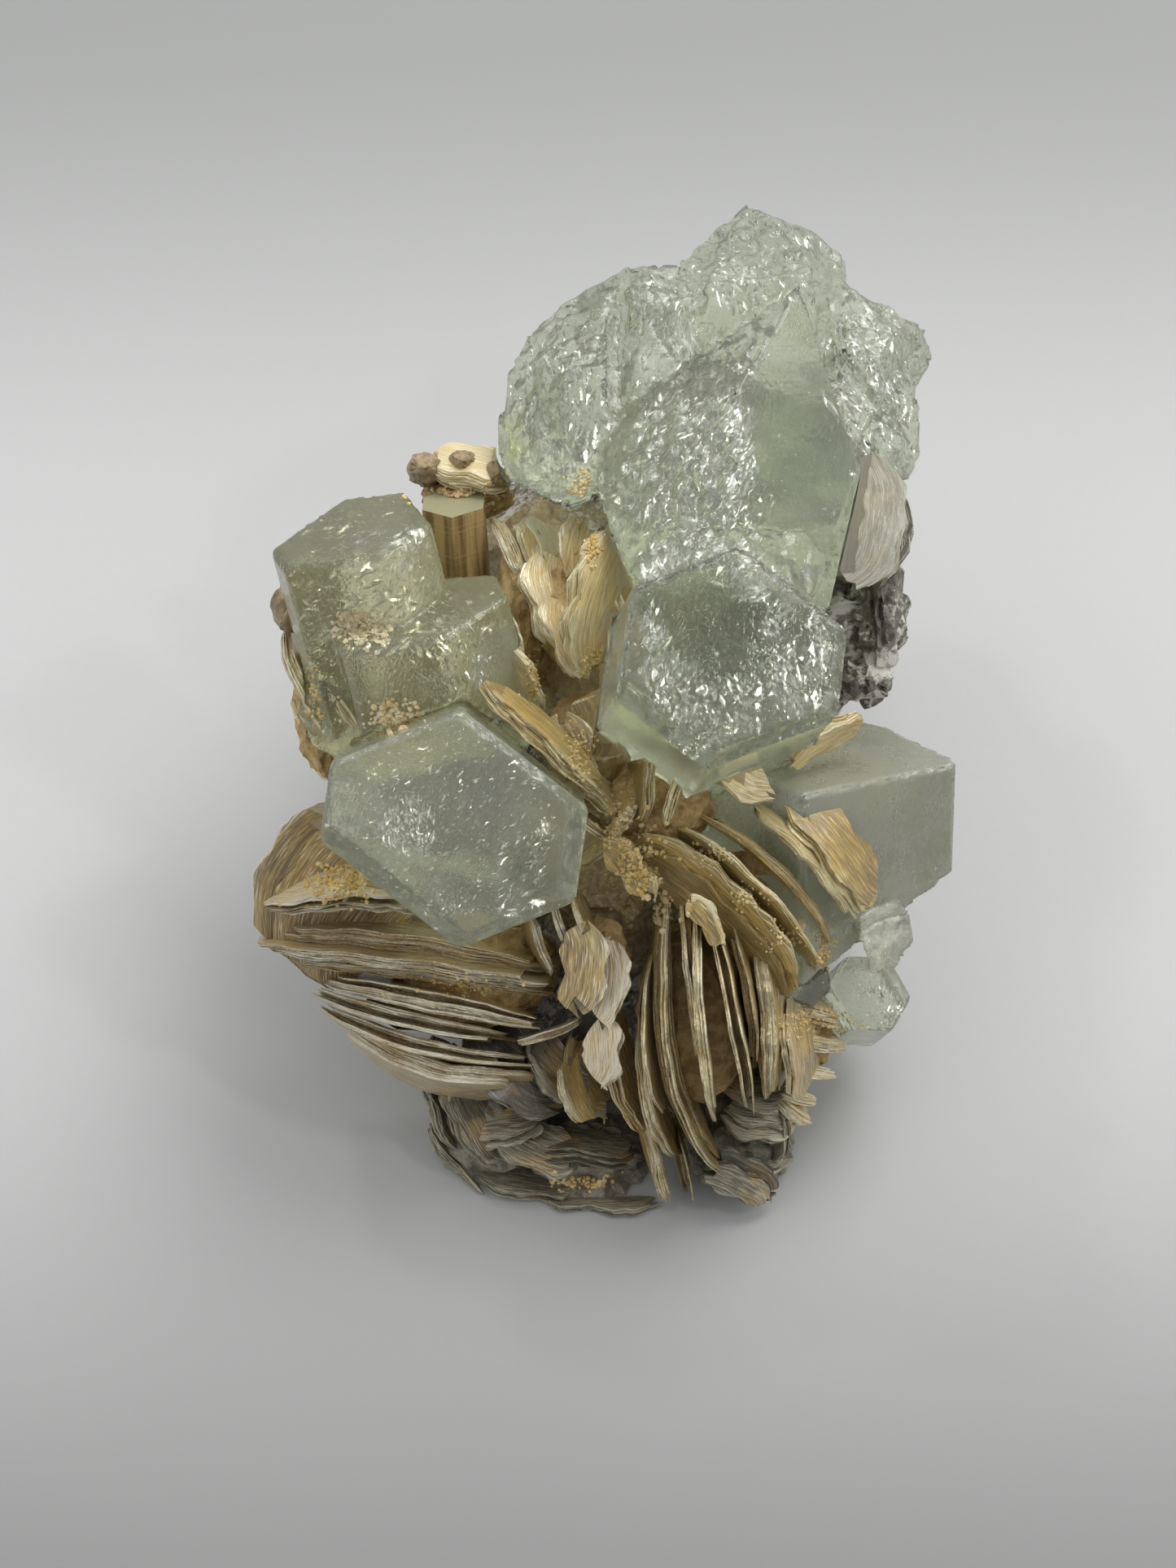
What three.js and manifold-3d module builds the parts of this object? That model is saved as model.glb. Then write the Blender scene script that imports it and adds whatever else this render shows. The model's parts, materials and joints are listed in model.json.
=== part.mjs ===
// Aquamarine specimen: pale green beryl crystals grown with muscovite mica on a lump of pegmatite.
// Millimetres, +Z up, +Y away from the viewer. The origin is the centre of the flat underside.
//
// The crystals and the mica are laid out on the display face, a frame whose x runs across the
// specimen, y up the face and z straight out of it. The face leans back from upright, and a group
// stands it on the base. The rock is laid out in the frame of the base itself.

import * as THREE from "three";
import { ConvexGeometry } from "three/addons/geometries/ConvexGeometry.js";
import { mergeVertices } from "three/addons/utils/BufferGeometryUtils.js";
import Module from "manifold-3d";

const wasm = await Module();
wasm.setup();

// ---------------------------------------------------------------- driving dimensions

const FACE_LEAN = 32; // degrees the display face's own "up" is raised from the floor
const FACE_HEIGHT = 27; // floor to the display face's origin
const GAP = 0.3; // clearance between neighbouring pieces
const SAME_POINT = 1e-4; // corners closer than this are one corner
const SIDES = 6; // beryl is hexagonal
const UPRIGHT = [0, 0, 1];
const FLAT_LENGTH = 5.5; // a bowed book of mica has a flat about every so many mm

const BERYL = { color: 0xa9b6a4, roughness: 0.12, metalness: 0 };
const CLEAR_BERYL = { color: 0xb4bdb0, roughness: 0.1, metalness: 0 };
const GREEN_BERYL = { color: 0x9fb197, roughness: 0.15, metalness: 0 };
const SILVER_MICA = { color: 0x8f8a78, roughness: 0.4, metalness: 0.1 };
const GOLD_MICA = { color: 0x9c8455, roughness: 0.45, metalness: 0.05 };
const GREY_MICA = { color: 0x6d6a5c, roughness: 0.4, metalness: 0.1 };
const CREAM_MICA = { color: 0xb5a27a, roughness: 0.6, metalness: 0 };
const ROCK = { color: 0x77706a, roughness: 0.85, metalness: 0 };

// ---------------------------------------------------------------- solids and geometry

const vec = (p) => new THREE.Vector3(...p);
const radians = THREE.MathUtils.degToRad;

/** Repeatable noise between -1 and 1 for a lattice of whole numbers. */
function hash(x, y, z, seed) {
  const n = Math.sin(x * 127.1 + y * 311.7 + z * 74.7 + seed * 53.3) * 43758.5453;
  return 2 * (n - Math.floor(n)) - 1;
}

/** Closed solid from a three.js geometry, its shared corners merged. */
function solidOf(geometry) {
  const bare = geometry.clone();
  bare.deleteAttribute("normal");
  bare.deleteAttribute("uv");
  const merged = mergeVertices(bare, SAME_POINT);
  const mesh = new wasm.Mesh({
    numProp: 3,
    vertProperties: new Float32Array(merged.attributes.position.array),
    triVerts: new Uint32Array(merged.index.array),
  });
  return new wasm.Manifold(mesh);
}

/** The geometry of a solid, for a mesh. */
function geometryOf(solid) {
  const { vertProperties, triVerts } = solid.getMesh();
  const geometry = new THREE.BufferGeometry();
  geometry.setAttribute("position", new THREE.BufferAttribute(new Float32Array(vertProperties), 3));
  geometry.setIndex(new THREE.BufferAttribute(new Uint32Array(triVerts), 1));
  return geometry;
}

/** The one body that is kept after a cut; crumbs beside it fall away. */
function largestBody(solid) {
  return solid.decompose().reduce((a, b) => (b.volume() > a.volume() ? b : a));
}

const joined = (solids) => solids.reduce((a, b) => a.add(b));

// ---------------------------------------------------------------- flat-faced crystals

/** Point where three planes meet, or null where they don't meet in one point. */
function meet(a, b, c) {
  const bc = b.normal.clone().cross(c.normal);
  const d = a.normal.dot(bc);
  if (Math.abs(d) < 1e-6) return null;
  const point = bc.multiplyScalar(a.reach);
  point.addScaledVector(c.normal.clone().cross(a.normal), b.reach);
  point.addScaledVector(a.normal.clone().cross(b.normal), c.reach);
  return point.divideScalar(d);
}

/** Convex crystal bounded by planes {normal, reach}, every face moved out by grow. */
function crystal(planes, grow = 0) {
  const walls = planes.map(({ normal, reach }) => ({ normal, reach: reach + grow }));
  const corners = [];
  const inside = (p) => walls.every((w) => w.normal.dot(p) <= w.reach + SAME_POINT);
  const known = (p) => corners.some((q) => q.distanceTo(p) < 10 * SAME_POINT);
  for (let i = 0; i < walls.length; i++) {
    for (let j = i + 1; j < walls.length; j++) {
      for (let k = j + 1; k < walls.length; k++) {
        const p = meet(walls[i], walls[j], walls[k]);
        if (p && inside(p) && !known(p)) corners.push(p);
      }
    }
  }
  return new ConvexGeometry(corners);
}

/** Face planes of the smallest convex body around hand-set corners: a broken, many-faced crystal. */
function shardPlanes(corners) {
  const { position } = new ConvexGeometry(corners.map(vec)).attributes;
  const planes = [];
  for (let i = 0; i < position.count; i += 3) {
    const [a, b, c] = [0, 1, 2].map((k) => new THREE.Vector3().fromBufferAttribute(position, i + k));
    const normal = b.clone().sub(a).cross(c.clone().sub(a)).normalize();
    const reach = normal.dot(a);
    const same = (p) => p.normal.dot(normal) > 0.99999 && Math.abs(p.reach - reach) < 1e-3;
    if (!planes.some(same)) planes.push({ normal, reach });
  }
  return planes;
}

/**
 * Face planes of a six-sided beryl prism along its own z. reaches: axis to each side in turn;
 * turn: direction of the first side in degrees; bevels: [side, slope, inset] trims the top edge of
 * a side, slope degrees from the prism's side, inset mm in from the edge.
 */
function prismPlanes({ reaches, turn, top, bottom, bevels = [] }) {
  const direction = (k) => {
    const angle = radians(turn + (k * 360) / SIDES);
    return new THREE.Vector3(Math.cos(angle), Math.sin(angle), 0);
  };
  const planes = reaches.map((reach, k) => ({ normal: direction(k), reach }));
  planes.push({ normal: new THREE.Vector3(0, 0, 1), reach: top });
  planes.push({ normal: new THREE.Vector3(0, 0, -1), reach: -bottom });
  for (const [side, slope, inset] of bevels) {
    const normal = direction(side).multiplyScalar(Math.cos(radians(slope)));
    normal.z = Math.sin(radians(slope));
    const edge = direction(side).multiplyScalar(reaches[side] - inset).setZ(top);
    planes.push({ normal, reach: normal.dot(edge) });
  }
  return planes;
}

/** Places a crystal's own frame on the display face: its z along axis. */
function placed(at, axis) {
  const turned = new THREE.Quaternion().setFromUnitVectors(vec(UPRIGHT), vec(axis).normalize());
  return new THREE.Matrix4().compose(vec(at), turned, new THREE.Vector3(1, 1, 1));
}

// ---------------------------------------------------------------- mica and rock

/**
 * A book of mica: a slab that runs in from its outer edge, bowed along its length and thinned to
 * both ends. from, to: ends of the outer edge; depth: how far the slab runs in; lean: 0 stands it
 * edge-on to the face and 90 lays it flat, spreading to the left of from-to; bow: swing of its
 * middle across the sheet; arch: swing of its middle out of the face; round: how far the corners
 * draw in, as a part of the depth; swell: swing of the outer edge's middle out of the slab; tip:
 * how thick the ends are, as a part of thick.
 */
function book(spec, grow = 0) {
  const { from, to, thick, depth, lean = 0 } = spec;
  const { bow = 0, arch = 0, swell = 0, round = 0.35, tip = 0.5 } = spec;
  const start = vec(from);
  const run = vec(to).sub(start);
  const length = run.length();
  const along = run.normalize();
  const out = new THREE.Vector3(0, 0, 1).addScaledVector(along, -along.z).normalize();
  const aside = out.clone().cross(along);
  const inward = aside.clone().multiplyScalar(Math.sin(radians(lean)));
  inward.addScaledVector(out, -Math.cos(radians(lean)));
  const across = along.clone().cross(inward);
  const geometry = new THREE.BoxGeometry(1, 1, 1, Math.max(2, Math.round(length / FLAT_LENGTH)), 1, 1);
  const { position } = geometry.attributes;
  for (let i = 0; i < position.count; i++) {
    const s = position.getX(i) + 0.5;
    const t = position.getY(i) + 0.5;
    const side = 2 * position.getZ(i);
    const end = Math.abs(2 * s - 1);
    const drawn = round * depth * end ** 4;
    const middle = 1 - end ** 2;
    const reach = t > 0.5 ? depth - drawn + grow : drawn - swell * middle - grow;
    const half = (thick / 2) * (tip + (1 - tip) * middle) + grow;
    const point = start.clone();
    point.addScaledVector(along, s * length + Math.sign(s - 0.5) * (end === 1 ? grow : 0));
    point.addScaledVector(inward, reach);
    point.addScaledVector(out, arch * middle);
    point.addScaledVector(across, side * half + bow * middle);
    position.setXYZ(i, point.x, point.y, point.z);
  }
  return geometry;
}

/** A rough lump: a ball of flat facets, its corners pushed in and out by part of its size. */
function lump({ at, radii, rough = 0.12, detail = 1, seed = 1 }, grow = 0) {
  const geometry = new THREE.IcosahedronGeometry(1, detail);
  const { position } = geometry.attributes;
  const size = vec(radii);
  for (let i = 0; i < position.count; i++) {
    const p = new THREE.Vector3().fromBufferAttribute(position, i).normalize();
    const [x, y, z] = p.toArray().map((v) => Math.round(v * 50));
    const swell = 1 + rough * hash(x, y, z, seed);
    p.multiply(size.clone().multiplyScalar(swell).addScalar(grow)).add(vec(at));
    position.setXYZ(i, p.x, p.y, p.z);
  }
  return geometry;
}

/** A cluster of mica: its root lumps and its books, grown together. */
function micaCluster({ roots = [], books }, grow) {
  return [...roots.map((r) => lump({ detail: 0, ...r }, grow)), ...books.map((b) => book(b, grow))];
}

// ---------------------------------------------------------------- beryl crystals

/** The broken crystals at the top of the specimen; the whole prism in front of them joins them. */
const CLUSTER_SHARDS = [
  // the great gabled crystal
  [
    [20.5, 48.5, 8], [1.5, 35, 8], [0.5, 28, 12], [3, 21, 16], [26.5, 30.5, 8], [24, 24.5, 12],
    [14, 38, 16], [14, 24, 20], [6, 14, 16], [23, 16, 12], [21, 48.5, -14], [3, 36.5, -14],
    [27, 32, -14], [4.5, 21.5, -8], [25, 21.5, -8],
  ],
  // the peak behind it
  [
    [9, 52.5, -6], [14.5, 57.5, -10], [16, 58.5, -8], [18.5, 56.5, -4], [22.5, 55.5, -6],
    [26, 53, -8], [26, 49.5, -4], [23, 39.5, 2], [10, 39, 4], [11.5, 49.5, 2], [22, 50.5, 2],
    [11, 52, -22], [16, 57, -22], [25.5, 52.5, -22], [26, 42.5, -22], [11.5, 42.5, -22],
  ],
  // the left shoulder of the dome
  [
    [2.5, 50, 0], [0, 49, 0], [-3, 47.2, 0], [-5.8, 44.8, 0], [-8, 40.5, 1], [-8.4, 35, 3],
    [-6.5, 28.5, 7], [-2, 26, 10], [2.5, 28, 10], [-2.5, 40, 8.5], [2, 41, 8], [1.5, 49.5, -14],
    [-5.5, 45, -13], [-7.5, 37, -13], [-5, 30, -9], [2.5, 30, -9],
  ],
  // the right shoulder of the dome
  [
    [2, 50, 0], [3.5, 51, 0], [6, 51.5, 0], [9, 51.5, -2], [10.5, 49.5, 0], [11, 38, 6], [2, 33, 8],
    [5.5, 46, 5], [3, 50.5, -14], [9.5, 50.5, -14], [11.5, 40, -14], [3, 35, -14],
  ],
  // the glittering broken crystal on the right, its upper and its lower lobe
  [
    [26, 49.5, -3], [29.5, 48, -4], [34, 45.5, -6], [34.5, 42.5, -6], [33, 39, -4], [28.5, 37, 2],
    [24.5, 42.5, 2], [29.5, 44, 1], [25, 49, -16], [34, 45, -16], [34.5, 42.5, -16], [27, 37, -16],
  ],
  [
    [24.5, 42.5, 1], [30, 39.5, 1], [33, 38, -2], [33, 32.5, -2], [32, 30, -2], [29, 29, 1],
    [25, 31, 3], [24.5, 42.5, -14], [33.5, 39, -14], [33, 32, -14], [26.5, 31.5, -14],
  ],
  // a small yellow-green crystal at the foot of the dome
  [
    [-6, 38, 2], [-9, 36.5, 0], [-9, 32, 2], [-8, 29, 4], [-5.5, 28.5, 6], [-5.5, 34, 6],
    [-6.5, 38, -8], [-9, 33, -8], [-6.5, 29.5, -6],
  ],
  // clear broken mass that joins the gabled crystal to the prism in front
  [
    [3.5, 20, 20], [6, 24.5, 17], [13.5, 24, 22], [21, 24, 17], [23, 21, 17], [21, 17, 21],
    [5, 17.5, 22], [13.5, 18, 24], [6, 16, 6], [22, 16, 6], [20, 24, 6], [7, 24, 6],
  ],
];

const CENTRE_PRISM = {
  at: [14, 11, 26],
  axis: [0.1, 0.15, 0.98],
  reaches: [9.8, 9.1, 10.5, 11, 9.6, 8],
  turn: -8,
  top: 0,
  bottom: -21,
  bevels: [[5, 38, 0.9], [4, 45, 1.3], [0, 50, 0.7]],
};

const FRONT_LEFT_PRISM = {
  at: [-12.2, -4.2, 22],
  axis: [0.03, -0.06, 1],
  reaches: [9.1, 10.2, 12.5, 8.9, 10.6, 12],
  turn: 52,
  top: 0,
  bottom: -19,
  bevels: [[3, 40, 1.6], [5, 45, 1.6], [4, 40, 0.8], [0, 60, 0.6]],
};

const LEFT_PRISMS = [
  {
    at: [-22.6, 24.3, 9],
    axis: [-0.2, 0.836, 0.51],
    reaches: [6.9, 7.3, 6, 7.9, 6.1, 6.9],
    turn: 27,
    top: 0,
    bottom: -23,
    bevels: [[3, 60, 0.6]],
  },
  {
    at: [-16.5, 17, 8.5],
    axis: [-0.2, 0.836, 0.51],
    reaches: [8.5, 6, 6.5, 8.5, 6.8, 7.2],
    turn: 22,
    top: 0,
    bottom: -16,
    bevels: [[4, 50, 0.8]],
  },
];

/** A clear broken lobe on the outer side of the left crystals. */
const LEFT_LOBE = [
  [-28.4, 13, 0], [-28.6, 7, 0.5], [-27, 3.4, 1], [-23.6, 2, 3], [-22, 5, 5], [-23, 12, 6],
  [-27, 12, -5], [-26.6, 5, -4], [-22, 3.4, -4], [-21, 11, -4],
];

const RIGHT_PRISM = {
  at: [20.7, 3.1, 3.2],
  axis: [0, 0.935, 0.353],
  reaches: [15, 11.3, 10, 10, 10, 10],
  turn: -1,
  top: 0,
  bottom: -20,
  cuts: [
    { normal: [0.839, 0.545, 0], reach: 11.7 }, // broken corner at the back
    { normal: [0.494, 0, -0.869], reach: 17.5 }, // ragged slanting foot
  ],
};

/** A small step at the right crystal's foot. */
const RIGHT_STEP = [
  [31.5, -15.4, 8], [29.5, -18, 8.5], [27, -18.4, 9], [26, -14, 9.5], [31, -12, 8.5],
  [31, -14.6, 2], [28, -17, 2], [26.5, -12, 2], [30, -11, 2],
];

const SMALL_RIGHT_PRISM = {
  at: [27.6, -20.4, 2],
  axis: [0.1, 0.2, 0.98],
  reaches: [3.6, 3.6, 3.9, 3.9, 3.7, 3.8],
  turn: 29,
  top: 0,
  bottom: -12,
  bevels: [[0, 40, 0.7], [3, 40, 0.6]],
};

const POCKET_PRISM = {
  at: [21.3, -19.2, 5],
  axis: [0.25, -0.1, 0.96],
  reaches: [2.4, 2.2, 2.4, 2.4, 2.2, 2.4],
  turn: 10,
  top: 0,
  bottom: -10,
};

const CLEAR_SHARD = {
  at: [-6.6, 6.2, 13],
  axis: [0.3, 0.5, 0.8],
  reaches: [2, 1.4, 1.8, 2, 1.5, 1.8],
  turn: 0,
  top: 0,
  bottom: -6,
  bevels: [[2, 35, 0.9]],
};

const BRONZE_PRISM = {
  at: [-13.2, 27.6, 1],
  axis: [-0.05, 0.83, 0.55],
  reaches: [3, 2.6, 2.6, 3, 2.6, 2.6],
  turn: 0,
  top: 0,
  bottom: -12,
};

/** Solid of a prism where it stands on the display face. */
function prism(spec, grow) {
  const planes = prismPlanes(spec);
  for (const cut of spec.cuts ?? []) planes.push({ ...cut, normal: vec(cut.normal).normalize() });
  return solidOf(crystal(planes, grow).applyMatrix4(placed(spec.at, spec.axis)));
}

const shard = (corners, grow) => solidOf(crystal(shardPlanes(corners), grow));

// ---------------------------------------------------------------- mica clusters

const LEFT_FAN = {
  roots: [{ at: [-11, -17.5, 2], radii: [9, 6.5, 7], seed: 3 }],
  books: [
    {
      from: [-32, -14, 10.5], to: [-6.5, -15.5, 12],
      bow: 3, thick: 2, depth: 13, lean: 30, arch: 1, round: 0.2,
    },
    {
      from: [-32.4, -15.8, 11.5], to: [-3, -19.5, 12],
      bow: 1, thick: 2.4, depth: 15, lean: 12, arch: 1, round: 0.12,
    },
    {
      from: [-29.6, -17.6, 10.5], to: [-3.5, -20.8, 11],
      bow: 0.7, thick: 1.4, depth: 14, lean: 6, arch: 1, round: 0.2,
    },
    {
      from: [-26.5, -19, 9.5], to: [-4.5, -23.4, 10.5],
      bow: 0.3, thick: 1.6, depth: 13, lean: 2, arch: 1, round: 0.2,
    },
    {
      from: [-27.6, -19.6, 8.2], to: [-7, -24.4, 9.5],
      bow: -0.6, thick: 1.3, depth: 13, lean: -4, arch: 1,
    },
    {
      from: [-26.8, -20.6, 6.6], to: [-5, -26.2, 8.5],
      bow: -1.6, thick: 1.5, depth: 12, lean: -8, arch: 1,
    },
    {
      from: [-25, -21.6, 5], to: [-4.5, -27.4, 7],
      bow: -2.7, thick: 1.5, depth: 11, lean: -14, arch: 1,
    },
    { from: [-8.5, -25.2, 9], to: [0, -22.4, 9.5], bow: -0.5, thick: 0.6, depth: 6, lean: 0 },
    // the broad petal above them
    {
      from: [-21, 1, 8], to: [-33.8, -13, 7.4],
      thick: 1.4, depth: 13, lean: 74, swell: 3.8, tip: 0.9, round: 0.1,
    },
    {
      from: [-22, -1, 6], to: [-32.6, -13, 5.2],
      thick: 1.8, depth: 11, lean: 66, swell: 3.4, tip: 0.8, round: 0.1,
    },
  ],
};

const FRONT_FAN = {
  roots: [{ at: [10.5, -22, 2], radii: [6.5, 10, 6.5], seed: 5 }],
  books: [
    { from: [8, -11.5, 13], to: [14.5, -41, 1.5], bow: -3.6, arch: 5, thick: 1.8, depth: 11, lean: 2 },
    { from: [8.9, -11.5, 14], to: [10.9, -28.5, 12], thick: 1, depth: 11, lean: 2, arch: 1 },
    { from: [10.4, -12.3, 15], to: [12.6, -34.5, 9], bow: -0.9, thick: 1, depth: 12, lean: 3, arch: 3 },
    {
      from: [11.4, -12.4, 15], to: [15.8, -34, 8.5],
      bow: 0.3, thick: 1.2, depth: 12, lean: 5, arch: 3,
    },
    {
      from: [12.6, -13.3, 14.3], to: [15.4, -30, 10],
      bow: 1.1, thick: 1.1, depth: 12, lean: 8, arch: 2,
    },
    {
      from: [15.2, -13.8, 11.5], to: [16.6, -32.5, 8],
      bow: 0.7, thick: 2.4, depth: 12, lean: 12, arch: 2,
    },
    {
      from: [17.4, -21, 9.5], to: [18.6, -32.5, 6.5],
      bow: 0.8, thick: 1.1, depth: 11, lean: 22, arch: 1,
    },
    {
      from: [5.4, -16.5, 11.5], to: [7.2, -34.5, 7],
      bow: -1.7, thick: 1.1, depth: 10, lean: 14, arch: 2,
    },
    { from: [4.4, -24, 9.5], to: [8.3, -38.5, 3], bow: -1.2, thick: 1.2, depth: 9, lean: 18, arch: 2 },
    { from: [0.3, -24, 8], to: [5.5, -37.8, 3], bow: -1.4, thick: 1.2, depth: 10, lean: 24, arch: 2 },
    { from: [-4, -27, 6], to: [-0.3, -36, 3], bow: -0.9, thick: 1.2, depth: 9, lean: 30, arch: 1 },
    { from: [5.8, -33.5, 3.5], to: [8.4, -43, -1.5], thick: 1.2, depth: 6, lean: -4, arch: 1 },
    { from: [8.2, -34, 3.5], to: [10.2, -43, -1.5], thick: 1.2, depth: 6, lean: 4, arch: 1 },
  ],
};

const CENTRE_PLATES = {
  roots: [{ at: [1, -17, 5.5], radii: [4, 5, 4], seed: 7 }],
  books: [
    { from: [2.6, -23, 12], to: [3.4, -13.2, 12.6], thick: 0.8, depth: 6, lean: 76, bow: 0.4 },
    { from: [5, -24, 11], to: [5.4, -14.4, 11.6], thick: 0.7, depth: 5, lean: 72, bow: 0.4 },
    { from: [4.2, -29.8, 8.6], to: [4.6, -21.5, 10], thick: 0.7, depth: 5, lean: 76, bow: 0.3 },
    { from: [-5.2, -11.5, 13.2], to: [-2.6, -18.8, 12.2], thick: 0.9, depth: 8, lean: -10, bow: -0.4 },
    { from: [-3.6, -11, 13.4], to: [-1.1, -17.2, 12.6], thick: 0.8, depth: 8, lean: 4, bow: -0.3 },
    { from: [-2.2, -10.5, 13.2], to: [0, -15.5, 12.8], thick: 0.7, depth: 8, lean: 10 },
  ],
};

const RIGHT_FAN = {
  roots: [{ at: [17, -8, 4], radii: [6, 6, 6], seed: 9 }],
  books: [
    {
      from: [7.2, -3, 15.4], to: [22.8, -18.6, 12.5],
      bow: 0.9, thick: 1.6, depth: 9, lean: -38, arch: 1.5,
    },
    { from: [8, -2.2, 15.2], to: [24, -17.4, 12.5], bow: 1.2, thick: 1, depth: 10, lean: -20, arch: 2 },
    { from: [10, -2.2, 14.6], to: [24.4, -16, 12.5], bow: 1.6, thick: 1, depth: 10, lean: -4, arch: 2 },
    {
      from: [13.5, -2.6, 14], to: [25, -15.4, 11.5],
      bow: 1.8, thick: 1.4, depth: 9, lean: 24, arch: 2,
    },
    { from: [16, -3, 13.6], to: [25, -14.6, 10.5], bow: 2, thick: 1.2, depth: 7, lean: 52, arch: 1.5 },
    { from: [15, -14.2, 14.2], to: [11.2, -9.2, 15], thick: 0.8, depth: 3.6, lean: 80 },
    { from: [18.5, -18.5, 10], to: [22.5, -13.5, 10.5], thick: 0.7, depth: 5, lean: 60 },
  ],
};

const CENTRE_BOOKS = {
  roots: [{ at: [7, -2, 8], radii: [6, 5, 5], seed: 11 }],
  books: [
    { from: [6.6, 5, 16], to: [5.8, -5, 15.2], thick: 1.1, depth: 9, lean: -14 },
    { from: [8.8, 3.6, 16], to: [6.6, -5, 15.6], thick: 1.1, depth: 9, lean: 8, bow: 0.3 },
    { from: [5.6, -1, 15], to: [-0.6, -9.6, 12.6], thick: 1.2, depth: 8, lean: -18, bow: 0.4 },
    { from: [3.2, -3, 14.2], to: [8.6, -9.4, 14.4], thick: 0.7, depth: 4.6, lean: -74, bow: 0.5 },
    { from: [16.6, -4.2, 14.2], to: [7.2, 0.8, 14.6], thick: 0.9, depth: 5.5, lean: -72, bow: -0.5 },
    { from: [13.2, 1.4, 16], to: [23, 2.6, 14], thick: 1, depth: 4, lean: 62, bow: 0.6 },
    { from: [19.4, 4, 14.4], to: [27.4, 8.4, 9], thick: 1, depth: 5, lean: -34, bow: 0.4 },
  ],
};

const UPPER_BOOKS = {
  roots: [{ at: [-1, 17, 3], radii: [5, 7, 5], seed: 13 }],
  books: [
    {
      from: [-1.2, 26.2, 11.6], to: [-4.6, 11.4, 12.4],
      thick: 1.4, depth: 6.5, lean: 58, bow: 0.8, arch: 1, round: 0.5,
    },
    { from: [-0.2, 24.2, 11.6], to: [0.6, 12.6, 12.4], thick: 1.6, depth: 7, lean: 18, bow: -0.8 },
    { from: [1, 22.4, 12.4], to: [4.2, 13.4, 13], thick: 0.9, depth: 6, lean: -8, bow: 0.4 },
    { from: [2.2, 15.8, 14], to: [3.6, 2, 14.2], thick: 1.8, depth: 7, lean: 0, bow: 0.3 },
    { from: [-2.2, 31.6, 10.4], to: [-0.4, 26.6, 10.8], thick: 0.6, depth: 6, lean: 0 },
    { from: [-0.6, 31.4, 10.8], to: [0.6, 27, 11], thick: 0.6, depth: 6, lean: 12 },
    { from: [-8, 19, 8.5], to: [-5.2, 10, 9], thick: 1, depth: 6, lean: -20 },
    { from: [-7.2, 15, 9.5], to: [-3, 8, 10.5], thick: 0.9, depth: 6, lean: -30 },
  ],
};

const YELLOW_PLATES = {
  roots: [{ at: [0, 4, 4], radii: [5, 6, 5], seed: 15 }],
  books: [
    { from: [2.2, -2, 12.6], to: [1.2, 7.6, 11.6], thick: 1, depth: 6.4, lean: 78, bow: 0.4 },
    { from: [6, 2, 10.4], to: [5.4, 9.8, 10], thick: 0.8, depth: 7.5, lean: 82 },
    { from: [-3.5, 0.5, 13.2], to: [2.6, -4.2, 13.4], thick: 1.1, depth: 7, lean: 20, bow: 0.4 },
    { from: [-2, -2.5, 13.4], to: [3.4, -6.6, 13], thick: 0.9, depth: 7, lean: 6 },
  ],
};

const GOLDEN_BLADE = {
  books: [
    { from: [-11.8, 9.2, 17], to: [0.2, -1.9, 19], bow: 0.5, thick: 1.6, depth: 7, lean: 20 },
  ],
};

const BACK_LEFT_KNOBS = {
  roots: [
    { at: [-15.5, 31.5, -3], radii: [3.2, 2.6, 5], seed: 17, rough: 0.08, detail: 1 },
    { at: [-11.8, 31.6, -2.5], radii: [2.6, 2.3, 5], seed: 18, rough: 0.08, detail: 1 },
    { at: [-8.6, 30.6, -2], radii: [2.4, 2.4, 5], seed: 19, rough: 0.08, detail: 1 },
    { at: [-12, 28.4, -4], radii: [5.5, 3, 5], seed: 20 },
  ],
  books: [
    { from: [-17, 29.4, 1], to: [-7.6, 27.4, 2], bow: 0.6, thick: 1.8, depth: 7, lean: 40 },
    { from: [-10.6, 27.4, 2.6], to: [-6.4, 18.8, 6], bow: 0.6, thick: 1.6, depth: 8, lean: 8 },
    { from: [-8.6, 27, 3], to: [-5, 19.6, 6.4], bow: 0.6, thick: 1.2, depth: 8, lean: 26 },
  ],
};

const LEFT_EDGE_BOOKS = {
  roots: [
    { at: [-29.5, 17.5, -2], radii: [2.4, 3.2, 4], seed: 21, detail: 1 },
    { at: [-26, 8, -4], radii: [4, 8, 6], seed: 22 },
  ],
  books: [
    {
      from: [-30.6, 20, 1.5], to: [-22.4, 3.8, 7.5],
      bow: -0.6, thick: 1.6, depth: 9, lean: 24, arch: 1,
    },
    { from: [-31, 17, -1], to: [-24.4, 3.4, 4], bow: -0.8, thick: 1.3, depth: 9, lean: 6, arch: 1 },
    { from: [-29.4, 11, -3], to: [-25.4, 2.8, 1], bow: -0.6, thick: 1.4, depth: 8, lean: -10 },
  ],
};

const STRIPED_BOOK = {
  books: [
    {
      from: [31.2, 21.4, -1.5], to: [32.4, 30.4, -1],
      thick: 3, depth: 8.4, lean: 62, bow: -0.5, round: 0.2,
    },
    {
      from: [30.6, 18.6, -4], to: [33.4, 29, -4],
      thick: 2.2, depth: 9, lean: 50, bow: -0.5, round: 0.2,
    },
  ],
};

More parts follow.
